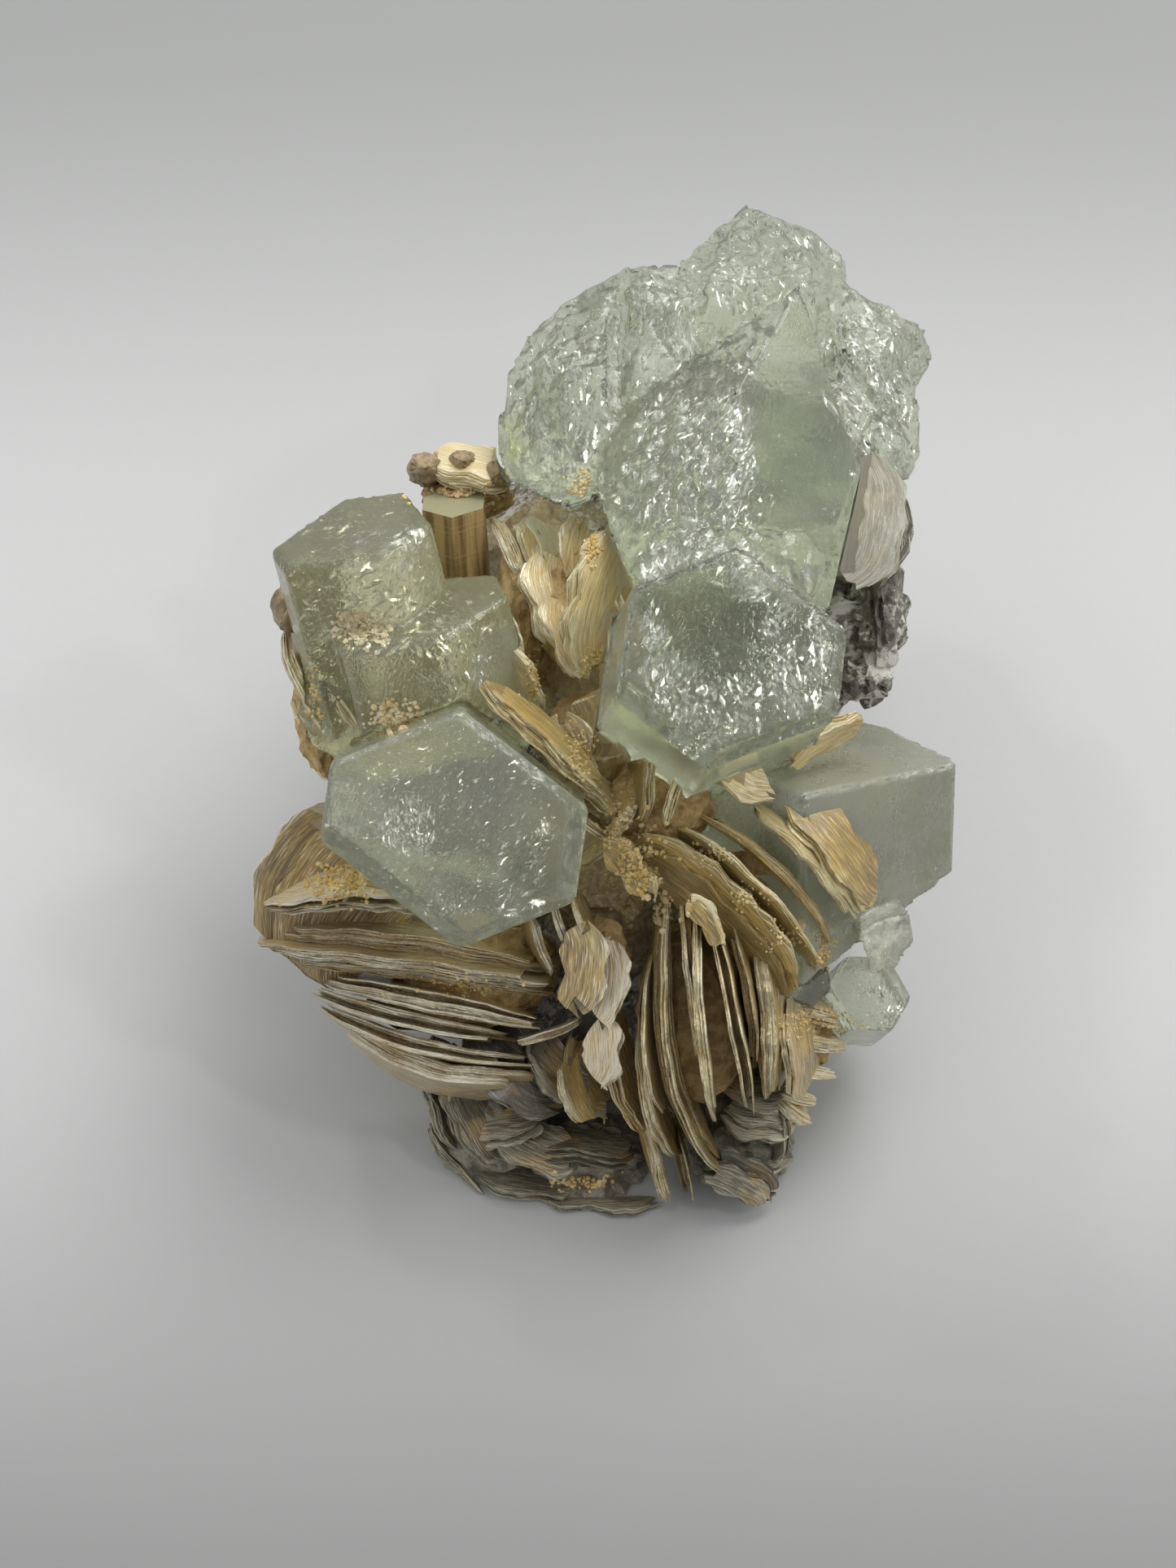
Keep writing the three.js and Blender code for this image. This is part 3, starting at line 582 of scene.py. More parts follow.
def box_of(piece: bpy.types.Object) -> tuple[Vector, Vector]:
    """Lowest and highest corner of a piece's mesh."""
    columns = list(zip(*(v.co for v in piece.data.vertices)))
    return Vector([min(c) for c in columns]), Vector([max(c) for c in columns])


def surface_of(pieces: Sequence[bpy.types.Object]) -> BVHTree:
    """One search tree over the meshes of several pieces.

    Args:
        pieces: The objects, all at the origin.

    Returns:
        The search tree.
    """
    points, faces = [], []
    for piece in pieces:
        first = len(points)
        points.extend(v.co for v in piece.data.vertices)
        faces.extend([first + k for k in p.vertices] for p in piece.data.polygons)
    return BVHTree.FromPolygons(points, faces)


class Cutters:
    """Slightly grown copies of the crystals, which mica and crumbs are cut back from."""

    def __init__(self, gap: float) -> None:
        """Starts with none; each copy will be grown by the gap, in mm."""
        self.gap = gap
        self.made: dict[str, bpy.types.Object] = {}

    def cut(self, piece: bpy.types.Object, source: str) -> None:
        """Takes a crystal's space out of a piece.

        Args:
            piece: The piece.
            source: The crystal's CAD node.
        """
        if source not in self.made:
            self.made[source] = grown_copy(source, self.gap * MM)
        boolean = piece.modifiers.new("crystal", "BOOLEAN")
        boolean.operation = "DIFFERENCE"
        boolean.solver = "MANIFOLD"
        boolean.object = self.made[source]
        frozen(piece)

    def trim(self, piece: bpy.types.Object) -> None:
        """Takes every crystal that a piece may reach, and the ground, out of it.

        Args:
            piece: The piece.
        """
        low, high = box_of(piece)
        for source in CRYSTAL_NODES:
            start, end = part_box(source)
            if all(low[k] < end[k] and start[k] < high[k] for k in range(3)):
                self.cut(piece, source)
        if low.z < self.gap * MM * 2:
            if "ground" not in self.made:
                work = bmesh.new()
                shape = Matrix.Translation((0, 0, GROUND_TOP * MM - GROUND_HALF))
                bmesh.ops.create_cube(work, size=2 * GROUND_HALF, matrix=shape)
                self.made["ground"] = shaped("ground", work)
            self.cut(piece, "ground")

    def clear(self) -> None:
        """Removes the copies."""
        for made in self.made.values():
            bpy.data.objects.remove(made)
        self.made.clear()


# ---------------------------------------------------------------- books of mica


@dataclass(frozen=True)
class Book:
    """A book of mica: leaves that run in from an outer edge, bowed along their length.

    start, end: ends of the outer edge. thick: all its leaves together. depth: how far they run in.
    lean: 0 stands the book edge-on to the face and 90 lays it flat. bow, arch: swing of its middle
    across the leaves and out of the face. swell: swing of the outer edge's middle. corner: how far
    the corners draw in, as a part of the depth. tip: how thick the ends are, as a part of thick.
    """

    start: Triple
    end: Triple
    thick: float
    depth: float
    lean: float = 0.0
    bow: float = 0.0
    arch: float = 0.0
    swell: float = 0.0
    corner: float = 0.35
    tip: float = 0.5

    def numbers(self, leaf: float, plump: float) -> dict[str, float]:
        """Its numbers for the leaf tree.

        Args:
            leaf: Thickness of a leaf.
            plump: How many times as thick the book is made.

        Returns:
            Value of each of the tree's number attributes.
        """
        thick = self.thick * plump
        return {
            "length": (Vector(self.end) - Vector(self.start)).length,
            "depth": self.depth,
            "thick": thick,
            "bow": self.bow,
            "arch": self.arch,
            "swell": self.swell,
            "draw": self.corner * self.depth,
            "tip": self.tip,
            "leaves": max(2.0, round(thick / leaf)),
        }

    def directions(self) -> dict[str, Vector]:
        """Where it starts and its four directions.

        Returns:
            Value of each of the leaf tree's vector attributes.
        """
        along = (Vector(self.end) - Vector(self.start)).normalized()
        out = (Vector((0, 0, 1)) - along * along.z).normalized()
        aside = out.cross(along)
        lean = math.radians(self.lean)
        inward = aside * math.sin(lean) - out * math.cos(lean)
        return {
            "start": Vector(self.start),
            "along": along,
            "out": out,
            "inward": inward,
            "across": along.cross(inward),
        }


class LeafTree(Tree):
    """Splits each point, which stands for a book of mica, into that book's thin leaves."""

    def __init__(self) -> None:
        """Builds the tree."""
        numbers = {"Fill": 0.94, "Fray": 0.6, "Ragged": 0.8, "Terrace": 0.7, "Ripple": 0.22}
        numbers.update({"Splay": 0.1, "Short": 0.16, "Slot": 0.0})
        inputs = {
            "Books": (SHAPE, None),
            "Steps": (WHOLE, 48),
            "Rows": (WHOLE, 5),
            **{label: (FLOAT, number) for label, number in numbers.items()},
            "Seed": (WHOLE, 0),
            "Finish": (MATERIAL, None),
        }
        super().__init__("Mica leaves", "GeometryNodeTree", inputs)
        self.build()

    def chance(self, leaf: Field, salt: int) -> Field:
        """A random number between 0 and 1 for each leaf; salt tells one draw from another."""
        inputs = {"ID": leaf, "Seed": self.get("Seed") + salt}
        return read(self.tree, "FunctionNodeRandomValue", inputs, data_type="FLOAT")

    def leaves(self) -> Field:
        """Makes flat slabs round the origin, one for each leaf of each book.

        Returns:
            The slabs.
        """
        sizes = {"Vertices X": self.get("Steps"), "Vertices Y": self.get("Rows"), "Vertices Z": 2}
        slab = read(self.tree, "GeometryNodeMeshCube", sizes, "Mesh")
        points = read(self.tree, "GeometryNodeMeshToPoints", (self.get("Books"),))
        each = {"Geometry": points, "Amount": self.attribute("leaves")}
        copies = node(self.tree, "GeometryNodeDuplicateElements", each, domain="POINT")
        index = Field(self.tree, copies.outputs["Duplicate Index"])
        shape = self.store(Field(self.tree, copies.outputs["Geometry"]), "leaf", index)
        placed = read(self.tree, "GeometryNodeInstanceOnPoints", {"Points": shape, "Instance": slab})
        return read(self.tree, "GeometryNodeRealizeInstances", {"Geometry": placed})

    def store(self, shape: Field, name: str, value: Field, kind: str = "FLOAT") -> Field:
        """Writes a named attribute on the points of a shape.

        Args:
            shape: The geometry.
            name: The attribute's name.
            value: Its value.
            kind: Its data type.

        Returns:
            The geometry with it.
        """
        inputs = {"Geometry": shape, "Name": name, "Value": value}
        made = "GeometryNodeStoreNamedAttribute"
        return read(self.tree, made, inputs, data_type=kind, domain="POINT")

    def splinter(self, along: Field) -> Field:
        """Straight-sided jags between 0 and about 1, a unit apart."""
        inputs, made = {"W": along, "Scale": 1.0}, "ShaderNodeTexVoronoi"
        return read(self.tree, made, inputs, "Distance", voronoi_dimensions="1D") * 1.4

    def build(self) -> None:
        """Bends the slabs into the books' leaves."""
        tree = self.tree
        shape = self.leaves()
        leaf, number, key = (self.attribute(name) for name in ("leaf", "leaves", "key"))
        own = key * 97.0 + leaf
        length, depth = self.attribute("length"), self.attribute("depth")
        x, y, z = read(tree, "GeometryNodeInputPosition").parts()

        t = (y + 0.5) ** 1.7
        ragged = self.get("Ragged")
        torn = ragged / length * 1.6
        drift = noise(tree, combine(tree, own * 0.13, key * 3.0, 0.0), detail=1.0) * 1.6
        packet = (own * 0.3).math("FLOOR")
        first, last = (
            self.get("Short") * self.chance(packet, salt) ** 2.0
            + torn * self.splinter(t * depth * 0.35 + drift + key * offset)
            for salt, offset in ((1, 11.0), (2, 17.0))
        )
        s = first + (x + 0.5) * (1.0 - first - last)
        end = (s * 2.0 - 1.0).math("ABSOLUTE")
        middle = 1.0 - end * end
        run = s * length

        fray = noise(tree, combine(tree, run * 0.7, own * 0.8, 0.0), detail=2.0, rough=0.6)
        broad = self.splinter(run * 0.24 + drift + key * 7.0)
        step = noise(tree, combine(tree, run * 0.14, packet * 5.3, 3.0), detail=1.0)
        inset = self.get("Terrace") * (self.chance(packet, 3) + step + self.chance(own, 4) * 0.3)
        drawn = self.attribute("draw") * end**4.0
        smooth = drawn - self.attribute("swell") * middle + inset
        slot = self.get("Slot") * self.chance(packet, 5).step(0.62, 0.68)
        rim = smooth + self.get("Fray") * fray + ragged * broad + slot
        back = ragged * self.splinter(run * 0.3 + drift + key * 23.0)
        reach = rim + t * (depth - drawn - back - rim)

        slow = noise(tree, combine(tree, run * 0.2, t * 1.5, own * 0.07 + key * 5.0), detail=1.0)
        quick = noise(tree, combine(tree, run * 0.3, t * 2.0, own * 4.1), detail=2.0)
        level = (leaf + 0.5 + z * self.get("Fill")) * 2.0 / number - 1.0
        half, tip = self.attribute("thick") * 0.5, self.attribute("tip")
        half = (half * (tip * end * end + middle)).math("MAXIMUM", half * tip)
        across = level * half + self.attribute("bow") * middle
        across = across + (slow - 0.5) * self.get("Ripple") * 2.0
        across = across + (quick - 0.5) * self.get("Splay") * 2.0

        place = self.attribute("start", "FLOAT_VECTOR")
        arched = self.attribute("arch") * middle
        ways = (("along", run), ("inward", reach), ("out", arched), ("across", across))
        for name, amount in ways:
            place = place.vector("ADD", self.attribute(name, "FLOAT_VECTOR").scaled(amount))
        leaf_map = combine(tree, run, reach - smooth, own + z * self.get("Fill"))
        shape = self.store(shape, "leaf_map", leaf_map, "FLOAT_VECTOR")
        inputs = {"Geometry": shape, "Position": place}
        self.dress(read(tree, "GeometryNodeSetPosition", inputs))


class MicaGrain(Tree):
    """Shader group: the grain, the blotches and the flecks of mica."""

    def __init__(self) -> None:
        """Builds the group and its nodes."""
        inputs = {"Leaf Map": (VECTOR, None), "Place": (VECTOR, None)}
        super().__init__("Mica grain", "ShaderNodeTree", inputs)
        tree = self.tree
        run, inward, own = self.get("Leaf Map").parts()
        each = {"W": (own + 0.5).math("FLOOR")}
        leaf = read(tree, "ShaderNodeTexWhiteNoise", each, "Value", noise_dimensions="1D")
        grain, fibre, band = (
            noise(tree, combine(tree, *at), 1.0, detail, rough)
            for at, detail, rough in (
                ((run * 0.3, inward * 3.0, own * 2.2), 3.0, 0.68),
                ((run * 0.55, inward * 9.0, own * 5.0), 2.0, 0.6),
                ((run * 0.05, 7.0, own * 0.45), 2.0, 0.7),
            )
        )
        self.finish(
            FLOAT,
            {
                "Inward": inward,
                "Grain": grain,
                "Fibre": fibre,
                "Leaf": leaf,
                "Band": band,
                "Blotch": noise(tree, self.get("Place"), 0.26, 2.0, 0.6),
                "Fleck": noise(tree, self.get("Place"), 3.4, 2.0, 0.65),
            },
        )


@dataclass(frozen=True)
class MicaFinish:
    """A finish of mica: silvery at the rims of its leaves, stained, and with painted shade deeper
    in.

    rim, body, stain, dark, brown and the shine colour: colours; dark and, deeper in, brown are
    painted shade, and the shine is a painted highlight. stained: how much is stained.
    """

    name: str
    rim: Colour
    body: Colour
    stain: Colour
    dark: Colour
    brown: Colour
    painted_shine: Colour
    stained: float = 0.45

    def make(self, grain_group: MicaGrain) -> bpy.types.Material:
        """The finish as a material.

        Args:
            grain_group: The shader group of mica's grain.

        Returns:
            The material.
        """
        material, tree = blank_material(self.name)
        leaf_map = read(tree, "ShaderNodeAttribute", (), "Vector", attribute_name="leaf_map")
        part = grain_group.use(tree, {"Leaf Map": leaf_map, "Place": object_place(tree)})
        grain, fleck, fibre = part["Grain"], part["Fleck"], part["Fibre"]

        edge = (part["Inward"] + (grain - 0.5) * 2.0).step(0.0, 1.6)
        colour = mix(tree, edge, self.rim, self.body)
        brown = (part["Band"] + part["Leaf"] * 0.12).step(0.48, 0.62)
        colour = mix(tree, brown * 0.75, colour, self.brown)
        # painted shade: deeper into a book the leaves are painted toward brown, where the gaps
        # between them fall dark
        deep = (part["Inward"] + grain * 2.0).step(1.8, 6.0)
        colour = mix(tree, deep * 0.6, colour, self.brown)
        stain = part["Blotch"] + (grain - 0.5) * 0.35 + edge * 0.12
        stain = stain.step(0.78 - self.stained * 0.5, 0.92 - self.stained * 0.5)
        colour = mix(tree, stain * 0.85, colour, self.stain)
        shade = (grain * 0.8 + fibre * 0.4 + part["Leaf"] * 0.36).step(0.84, 0.56)
        colour = mix(tree, shade * 0.8, colour, self.dark)
        # painted highlight: the brightest streaks of the leaves are painted in the shine colour, and
        # made partly metallic
        bright = (fibre + part["Leaf"] * 0.3 - edge * 0.12).step(0.55, 0.70)
        colour = mix(tree, bright * (1.0 - brown * 0.4) * 0.95, colour, self.painted_shine)
        inputs = {
            "Base Color": colour,
            "Roughness": fleck * 0.35 + 0.18,
            "Metallic": bright * 0.4,
            "Specular IOR Level": 0.75,
            "Coat Weight": 0.3,
            "Coat Roughness": 0.22,
        }
        end_material(tree, (grain + fibre * 0.6 + fleck * 0.35, 0.6, 0.22), inputs)
        return material


@dataclass(frozen=True)
class MicaCluster:
    """A cluster of mica books that have grown together on their root.

    node_name: the CAD node it stands for. books: its books. steps: points along a leaf. plump: how
    many times as thick its books are made. leaf: thickness of one leaf. The rest is as in the tree.
    """

    node_name: str
    slot: Slot
    finish: MicaFinish
    books: tuple[Book, ...]
    steps: int
    ragged: float = 0.8
    slot_depth: float = 0.0
    ripple: float = 0.22
    plump: float = 1.0
    leaf: float = 0.2
    place: Matrix = FACE_MM_TO_BASE

    def cards(self) -> bpy.types.Mesh:
        """Makes one point for each book, with the book's numbers and directions.

        Returns:
            The mesh of points.
        """
        mesh = bpy.data.meshes.new(self.node_name)
        mesh.from_pydata([(0, 0, 0)] * len(self.books), [], [])
        rows = [b.numbers(self.leaf, self.plump) for b in self.books]
        write(mesh, {name: [r[name] for r in rows] for name in rows[0]})
        write(mesh, {"key": [k + 1.0 for k in range(len(rows))]})
        ways = [b.directions() for b in self.books]
        flat = {name: [v for w in ways for v in w[name]] for name in ways[0]}
        write(mesh, flat, "FLOAT_VECTOR")
        return mesh

    def build(
        self, leaves: LeafTree, grain_group: MicaGrain, cutters: Cutters, seed: int
    ) -> bpy.types.Object:
        """Makes the cluster's leaves.

        Args:
            leaves: The tree that splits books into leaves.
            grain_group: The shader group of mica's grain.
            cutters: Grown copies of the crystals.
            seed: Tells this cluster's noise from the others'.

        Returns:
            The piece.
        """
        piece = new_object(f"{self.node_name}_leaves", self.cards())
        values = {
            "Steps": self.steps,
            "Ragged": self.ragged,
            "Ripple": self.ripple,
            "Slot": self.slot_depth,
            "Seed": seed,
            "Finish": self.finish.make(grain_group),
        }
        leaves.modify(piece, values)
        piece.data.transform(self.place)
        cutters.trim(piece)
        erase(piece.data, ("start", "along", "out", "inward", "across", "leaf", "key"))
        return settle(piece, self.slot, (self.node_name,))


# ---------------------------------------------------------------- surfaces grown, etched and broken


@dataclass(frozen=True)
class Wear:
    """How a surface is worn: heights and sizes of its waves, chips and grit, in mm.

    floor: height over the base from which it is worn at all.
    """

    wave: float = 0.06
    chip: float = 0.35
    chip_size: float = 2.0
    grit: float = 0.05
    wave_size: float = 3.0
    floor: float = 0.5


class WeatherTree(Tree):
    """Presses low waves and broken facets into a surface, less so where it is sound."""

    def __init__(self) -> None:
        """Builds the tree."""
        labels = ("Wave", "Wave Size", "Chip", "Chip Size", "Grit", "Floor", "Seed")
        inputs = {"Surface": (SHAPE, None), **{label: (FLOAT, 1.0) for label in labels}}
        inputs["Finish"] = (MATERIAL, None)
        super().__init__("Weathered surface", "GeometryNodeTree", inputs)
        tree = self.tree
        place = read(tree, "GeometryNodeInputPosition").scaled(1 / MM)
        height = place.parts()[2]
        moved = place.vector("ADD", combine(tree, self.get("Seed") * 31.7, 0.0, 5.0))
        waves = noise(tree, moved, self.get("Wave Size") ** -1.0, 2.0)
        warp = noise(tree, moved, 0.5, 2.0)
        bent = moved.vector("ADD", combine(tree, warp, warp * 1.7, 1.0 - warp))
        slope = facets(tree, bent, self.get("Chip Size") ** -1.0) / self.get("Chip Size")
        facet = (slope * 1.6 + 0.5).math("ADD", 0.0, clamp=True)
        grit = noise(tree, moved, 2.6, 3.0, 0.65)
        broken = 1.0 - self.attribute("sound")
        depth = waves * self.get("Wave") + facet * self.get("Chip") * broken
        depth = depth + grit * self.get("Grit") * (broken * 0.85 + 0.15)
        grounded = (height - self.get("Floor")).step(-0.05, 0.6)
        offset = read(tree, "GeometryNodeInputNormal").scaled(depth * grounded * -MM)
        inputs = {"Geometry": self.get("Surface"), "Offset": offset}
        self.dress(read(tree, "GeometryNodeSetPosition", inputs))

    def roughen(
        self, piece: bpy.types.Object, wear: Wear, finish: bpy.types.Material, seed: float
    ) -> None:
        """Wears a piece's surface.

        Args:
            piece: The object.
            wear: How it is worn.
            finish: Its material.
            seed: Tells its noise from other pieces'.
        """
        values = {
            "Wave": wear.wave,
            "Wave Size": wear.wave_size,
            "Chip": wear.chip,
            "Chip Size": wear.chip_size,
            "Grit": wear.grit,
            "Floor": wear.floor,
            "Seed": seed,
            "Finish": finish,
        }
        self.modify(piece, values)


class Shape(Enum):
    """Small shapes that are scattered."""

    FLAKE = "flake"
    CRUMB = "crumb"


@dataclass(frozen=True)
class Speck:
    """One scattered shape: where it sits, which way it faces and its size, all in metres.

    turn: its turn about the way it faces. slim: its width beside its length.
    """

    place: Vector
    facing: Vector
    size: float
    turn: float = 0.0
    slim: float = 1.0


class ScatterTree(Tree):
    """Sets a small shape on every point, turned to the point's direction and scaled to its size."""

    def __init__(self, shape: Shape) -> None:
        """Builds the tree.

        Args:
            shape: What is set on the points.
        """
        inputs = {"Points": (SHAPE, None), "Thickness": (FLOAT, 0.2), "Rough": (FLOAT, 0.4)}
        inputs["Finish"] = (MATERIAL, None)
        super().__init__(f"Scattered {shape.value}s", "GeometryNodeTree", inputs)
        tree = self.tree
        if shape is Shape.FLAKE:
            cone = {"Vertices": 4, "Radius Top": 0.0, "Radius Bottom": 1.0, "Depth": 0.5}
            small = read(tree, "GeometryNodeMeshCone", cone, "Mesh")
        else:
            ball = {"Radius": 1.0, "Subdivisions": 1}
            small = read(tree, "GeometryNodeMeshIcoSphere", ball, "Mesh")
        points = read(tree, "GeometryNodeMeshToPoints", (self.get("Points"),))
        facing = {"Vector": self.attribute("facing", "FLOAT_VECTOR")}
        facing = read(tree, "FunctionNodeAlignRotationToVector", facing, axis="Z")
        spin = (facing, combine(tree, 0.0, 0.0, self.attribute("turn")))
        turned = read(tree, "FunctionNodeRotateRotation", spin, rotation_space="LOCAL")
        size = self.attribute("size")
        girth = combine(tree, self.attribute("slim"), 1.0, self.get("Thickness")).scaled(size)
        inputs = {"Points": points, "Instance": small, "Rotation": turned, "Scale": girth}
        placed = read(tree, "GeometryNodeInstanceOnPoints", inputs)
        real = read(tree, "GeometryNodeRealizeInstances", {"Geometry": placed})
        place = {"Vector": read(tree, "GeometryNodeInputPosition").scaled(1 / MM)}
        push = read(tree, "ShaderNodeTexWhiteNoise", place, "Color", noise_dimensions="3D")
        push = push.vector("SUBTRACT", (0.5, 0.5, 0.5)).scaled(size * self.get("Rough"))
        inputs = {"Geometry": real, "Offset": push}
        self.dress(read(tree, "GeometryNodeSetPosition", inputs))

    def scatter(
        self, name: str, specks: Sequence[Speck], finish: bpy.types.Material, girth: Pair
    ) -> bpy.types.Object:
        """Makes one piece of many small shapes.

        Args:
            name: The piece's name.
            specks: Where the shapes sit.
            finish: Their material.
            girth: Their height beside their width, and how far their corners are pushed beside it.

        Returns:
            The piece.
        """
        mesh = bpy.data.meshes.new(name)
        mesh.from_pydata([s.place for s in specks], [], [])
        write(mesh, {"facing": [v for s in specks for v in s.facing]}, "FLOAT_VECTOR")
        labels = ("size", "turn", "slim")
        write(mesh, {label: [getattr(s, label) for s in specks] for label in labels})
        piece = new_object(name, mesh)
        self.modify(piece, {"Thickness": girth[0], "Rough": girth[1], "Finish": finish})
        erase(piece.data, ("facing", *labels))
        return piece


# ---------------------------------------------------------------- beryl


def face_direction(direction: Vector) -> Vector:
    """A direction of the display face, in the frame of the base."""
    return (FACE_TO_BASE.to_3x3() @ direction).normalized()


def habit(axis: Triple, turn: float) -> tuple[Vector, ...]:
    """The sound faces of a six-sided prism.

    Args:
        axis: Its axis on the display face.
        turn: Turn of its first side, in degrees.

    Returns:
        Outward directions of its six sides and its top, in the frame of the base.
    """
    way = Vector(axis).normalized()
    lean = Vector((0, 0, 1)).rotation_difference(way)
    angles = [math.radians(turn + 60 * k) for k in range(6)]
    sides = [lean @ Vector((math.cos(a), math.sin(a), 0)) for a in angles]
    return tuple(face_direction(f) for f in (*sides, way))


class Etching(Tree):
    """Shader group: clouds, scratches, pits and broken facets of etched beryl; its scratch lines
    also serve as painted glints.
    """

    def __init__(self) -> None:
        """Builds the group and its nodes."""
        inputs = {
            "Place": (VECTOR, None),
            "Streak Place": (VECTOR, None),
            "Cloud Scale": (FLOAT, 0.3),
            "Scratch Scale": (FLOAT, 0.9),
            "Facet Scale": (FLOAT, 1.2),
        }
        super().__init__("Etched beryl", "ShaderNodeTree", inputs)
        tree = self.tree
        place = self.get("Place")
        etched = noise(tree, place, 1.9, 3.0, 0.65)
        bend = noise(tree, place, 0.45, 1.0)
        bent = place.vector("ADD", combine(tree, bend * 2.0, 2.0 - bend * 2.0, bend))
        ridge = noise(tree, bent, self.get("Scratch Scale"), 1.0, 0.55)
        line = (ridge - 0.5).math("ABSOLUTE").step(0.02, 0.004)
        self.finish(
            FLOAT,
            {
                "Cloud": noise(tree, place, self.get("Cloud Scale"), 2.0, 0.55),
                "Etched": etched,
                "Streak": noise(tree, self.get("Streak Place"), 1.0, 2.0, 0.62),
                "Scratch": line * etched.step(0.5, 0.56),
                "Facet": facets(tree, bent, self.get("Facet Scale")),
            },
        )


@dataclass(frozen=True)
class Spot:
    """A patch of a crystal that is clearer or of another colour: centre and radius in mm."""

    centre: Triple
    radius: float
    clearer: float = 0.0
    colour: Optional[Colour] = None

    def mask(self, tree: bpy.types.NodeTree, place: Field, cloud: Field) -> Field:
        """How far a point is inside it.

        Args:
            tree: The material's tree.
            place: Where the surface is.
            cloud: Noise that frays its rim.

        Returns:
            A mask from 0 to 1.
        """
        centre = FACE_MM_TO_BASE @ Vector(self.centre) / MM
        away = place.vector("SUBTRACT", tuple(centre))
        far = away.vector("LENGTH") + (cloud - 0.5) * self.radius * 1.2
        return far.step(self.radius, self.radius * 0.55)


@dataclass(frozen=True)
class BerylFinish:
    """Clear pale beryl under a polished skin: etched, cloudy inside and tinted by its depth.

    pale, milky: colours of clear and cloudy parts. absorbed: how depth tints it. cloudy: roughness
    inside where it is cloudy. clear_share: how much is clear. etch, streaked, glitter: depth of the
    pits, of the streaks and of the facets where it is broken.
    """

    name: str
    pale: Colour = (0.86, 0.88, 0.76)
    milky: Colour = (0.97, 0.98, 0.90)
    absorbed: Colour = (0.82, 0.87, 0.62)
    transmission: float = 0.92
    cloudy: float = 0.2
    clear_share: float = 0.5
    cloud_scale: float = 0.3
    scratch_scale: float = 0.9
    facet_scale: float = 1.2
    etch: float = 0.22
    streaked: float = 0.2
    glitter: float = 1.4
    spots: tuple[Spot, ...] = ()

    def make(self, etching: Etching) -> bpy.types.Material:
        """The finish as a material.

        Args:
            etching: The shader group of etched beryl.

        Returns:
            The material.
        """
        clear, sound_glitter = 0.02, 0.12
        streak_way = face_direction(Vector((0.35, 0.93, 0.1)))
        material, tree = blank_material(self.name)
        place = object_place(tree)
        sound = read(tree, "ShaderNodeAttribute", (), "Fac", attribute_name="sound")
        inputs = {
            "Place": place,
            "Streak Place": drawn_out(tree, place, streak_way, 0.5, 3.0),
            "Cloud Scale": self.cloud_scale,
            "Scratch Scale": self.scratch_scale,
            "Facet Scale": self.facet_scale,
        }
        part = etching.use(tree, inputs)
        cloud, streak, etched = part["Cloud"], part["Streak"], part["Etched"]
        least = 0.15 + self.clear_share * 0.25
        cloudy = (cloud + (streak - 0.5) * 0.3).step(least, least + 0.5)
        for spot in self.spots:
            if spot.clearer:
                cloudy = cloudy * (1.0 - spot.mask(tree, place, cloud) * spot.clearer)
        white = (cloudy * 0.5 + etched * 0.4 + streak * 0.4).step(0.45, 1.0)
        colour = mix(tree, white, self.pale, self.milky)
        for spot in self.spots:
            if spot.colour:
                colour = mix(tree, spot.mask(tree, place, cloud), colour, spot.colour)
        broken = (1.0 - sound) * (self.glitter - sound_glitter) + sound_glitter
        height = etched * self.etch + streak * self.streaked + part["Scratch"] * 0.12
        height = height + part["Facet"] * broken * (cloudy * 0.6 + 0.4)
        inputs = {
            # scratch lines painted white: partly etched marks, partly painted glints of light off
            # cracks
            "Base Color": mix(tree, part["Scratch"] * 0.8, colour, WHITE),
            "Roughness": cloudy * (self.cloudy - clear) + clear,
            "Metallic": 0.0,
            "IOR": BERYL_IOR,
            "Transmission Weight": self.transmission,
        }
        output = end_material(tree, (height, 1.0, 0.22), inputs, "GGX")
        depth = {"Color": (*self.absorbed, 1.0), "Density": 30.0}
        volume = node(tree, "ShaderNodeVolumeAbsorption", depth)
        tree.links.new(volume.outputs[0], output.inputs["Volume"])
        return material


def chance_jolt(draw: random.Random, spread: float) -> Vector:
    """A small random change of direction."""
    return Vector([draw.gauss(0, spread) for _ in range(3)])


@dataclass(frozen=True)
class Veil:
    """A healed crack inside a crystal, drawn as a sheet of small bright flakes; a dark one is a
    sheet of dark flakes.

    centre: on the display face, mm. facing: its direction there. radii: its half sizes. count: of
    its flakes. size: the largest flake. curl: how far the sheet bends away from flat. turn, slim:
    of its flakes. jolt: spread of the way they face. dark: its flakes are dark, not bright.
    """

    centre: Triple
    facing: Triple
    radii: Pair
    count: int
    size: float = 0.22
    curl: float = 0.6
    turn: float = 0.0
    slim: float = 0.4
    jolt: float = 0.22
    dark: bool = False

    def specks(self, draw: random.Random) -> Iterable[Speck]:
        """Its flakes.

        Args:
            draw: Source of chance.

        Yields:
            One flake at a time, in the frame of the base.
        """
        facing = Vector(self.facing).normalized()
        side = facing.orthogonal().normalized()
        other = facing.cross(side)
        for _ in range(self.count):
            angle, far = draw.uniform(0, 2 * math.pi), math.sqrt(draw.random())
            x, y = math.cos(angle) * far, math.sin(angle) * far
            lift = self.curl * (math.sin(3 * x + 1.3 * y) + draw.gauss(0, 0.18))
            place = Vector(self.centre) + side * x * self.radii[0] + other * y * self.radii[1]
            place += facing * lift
            way = face_direction(FLAKE_WAY + chance_jolt(draw, self.jolt))
            size = self.size * (0.3 + 0.7 * draw.random() ** 2) * MM
            turn = self.turn + draw.gauss(0, 0.35)
            slim = self.slim * draw.uniform(0.6, 1.4)
            yield Speck(FACE_MM_TO_BASE @ place, way, size, turn, slim)


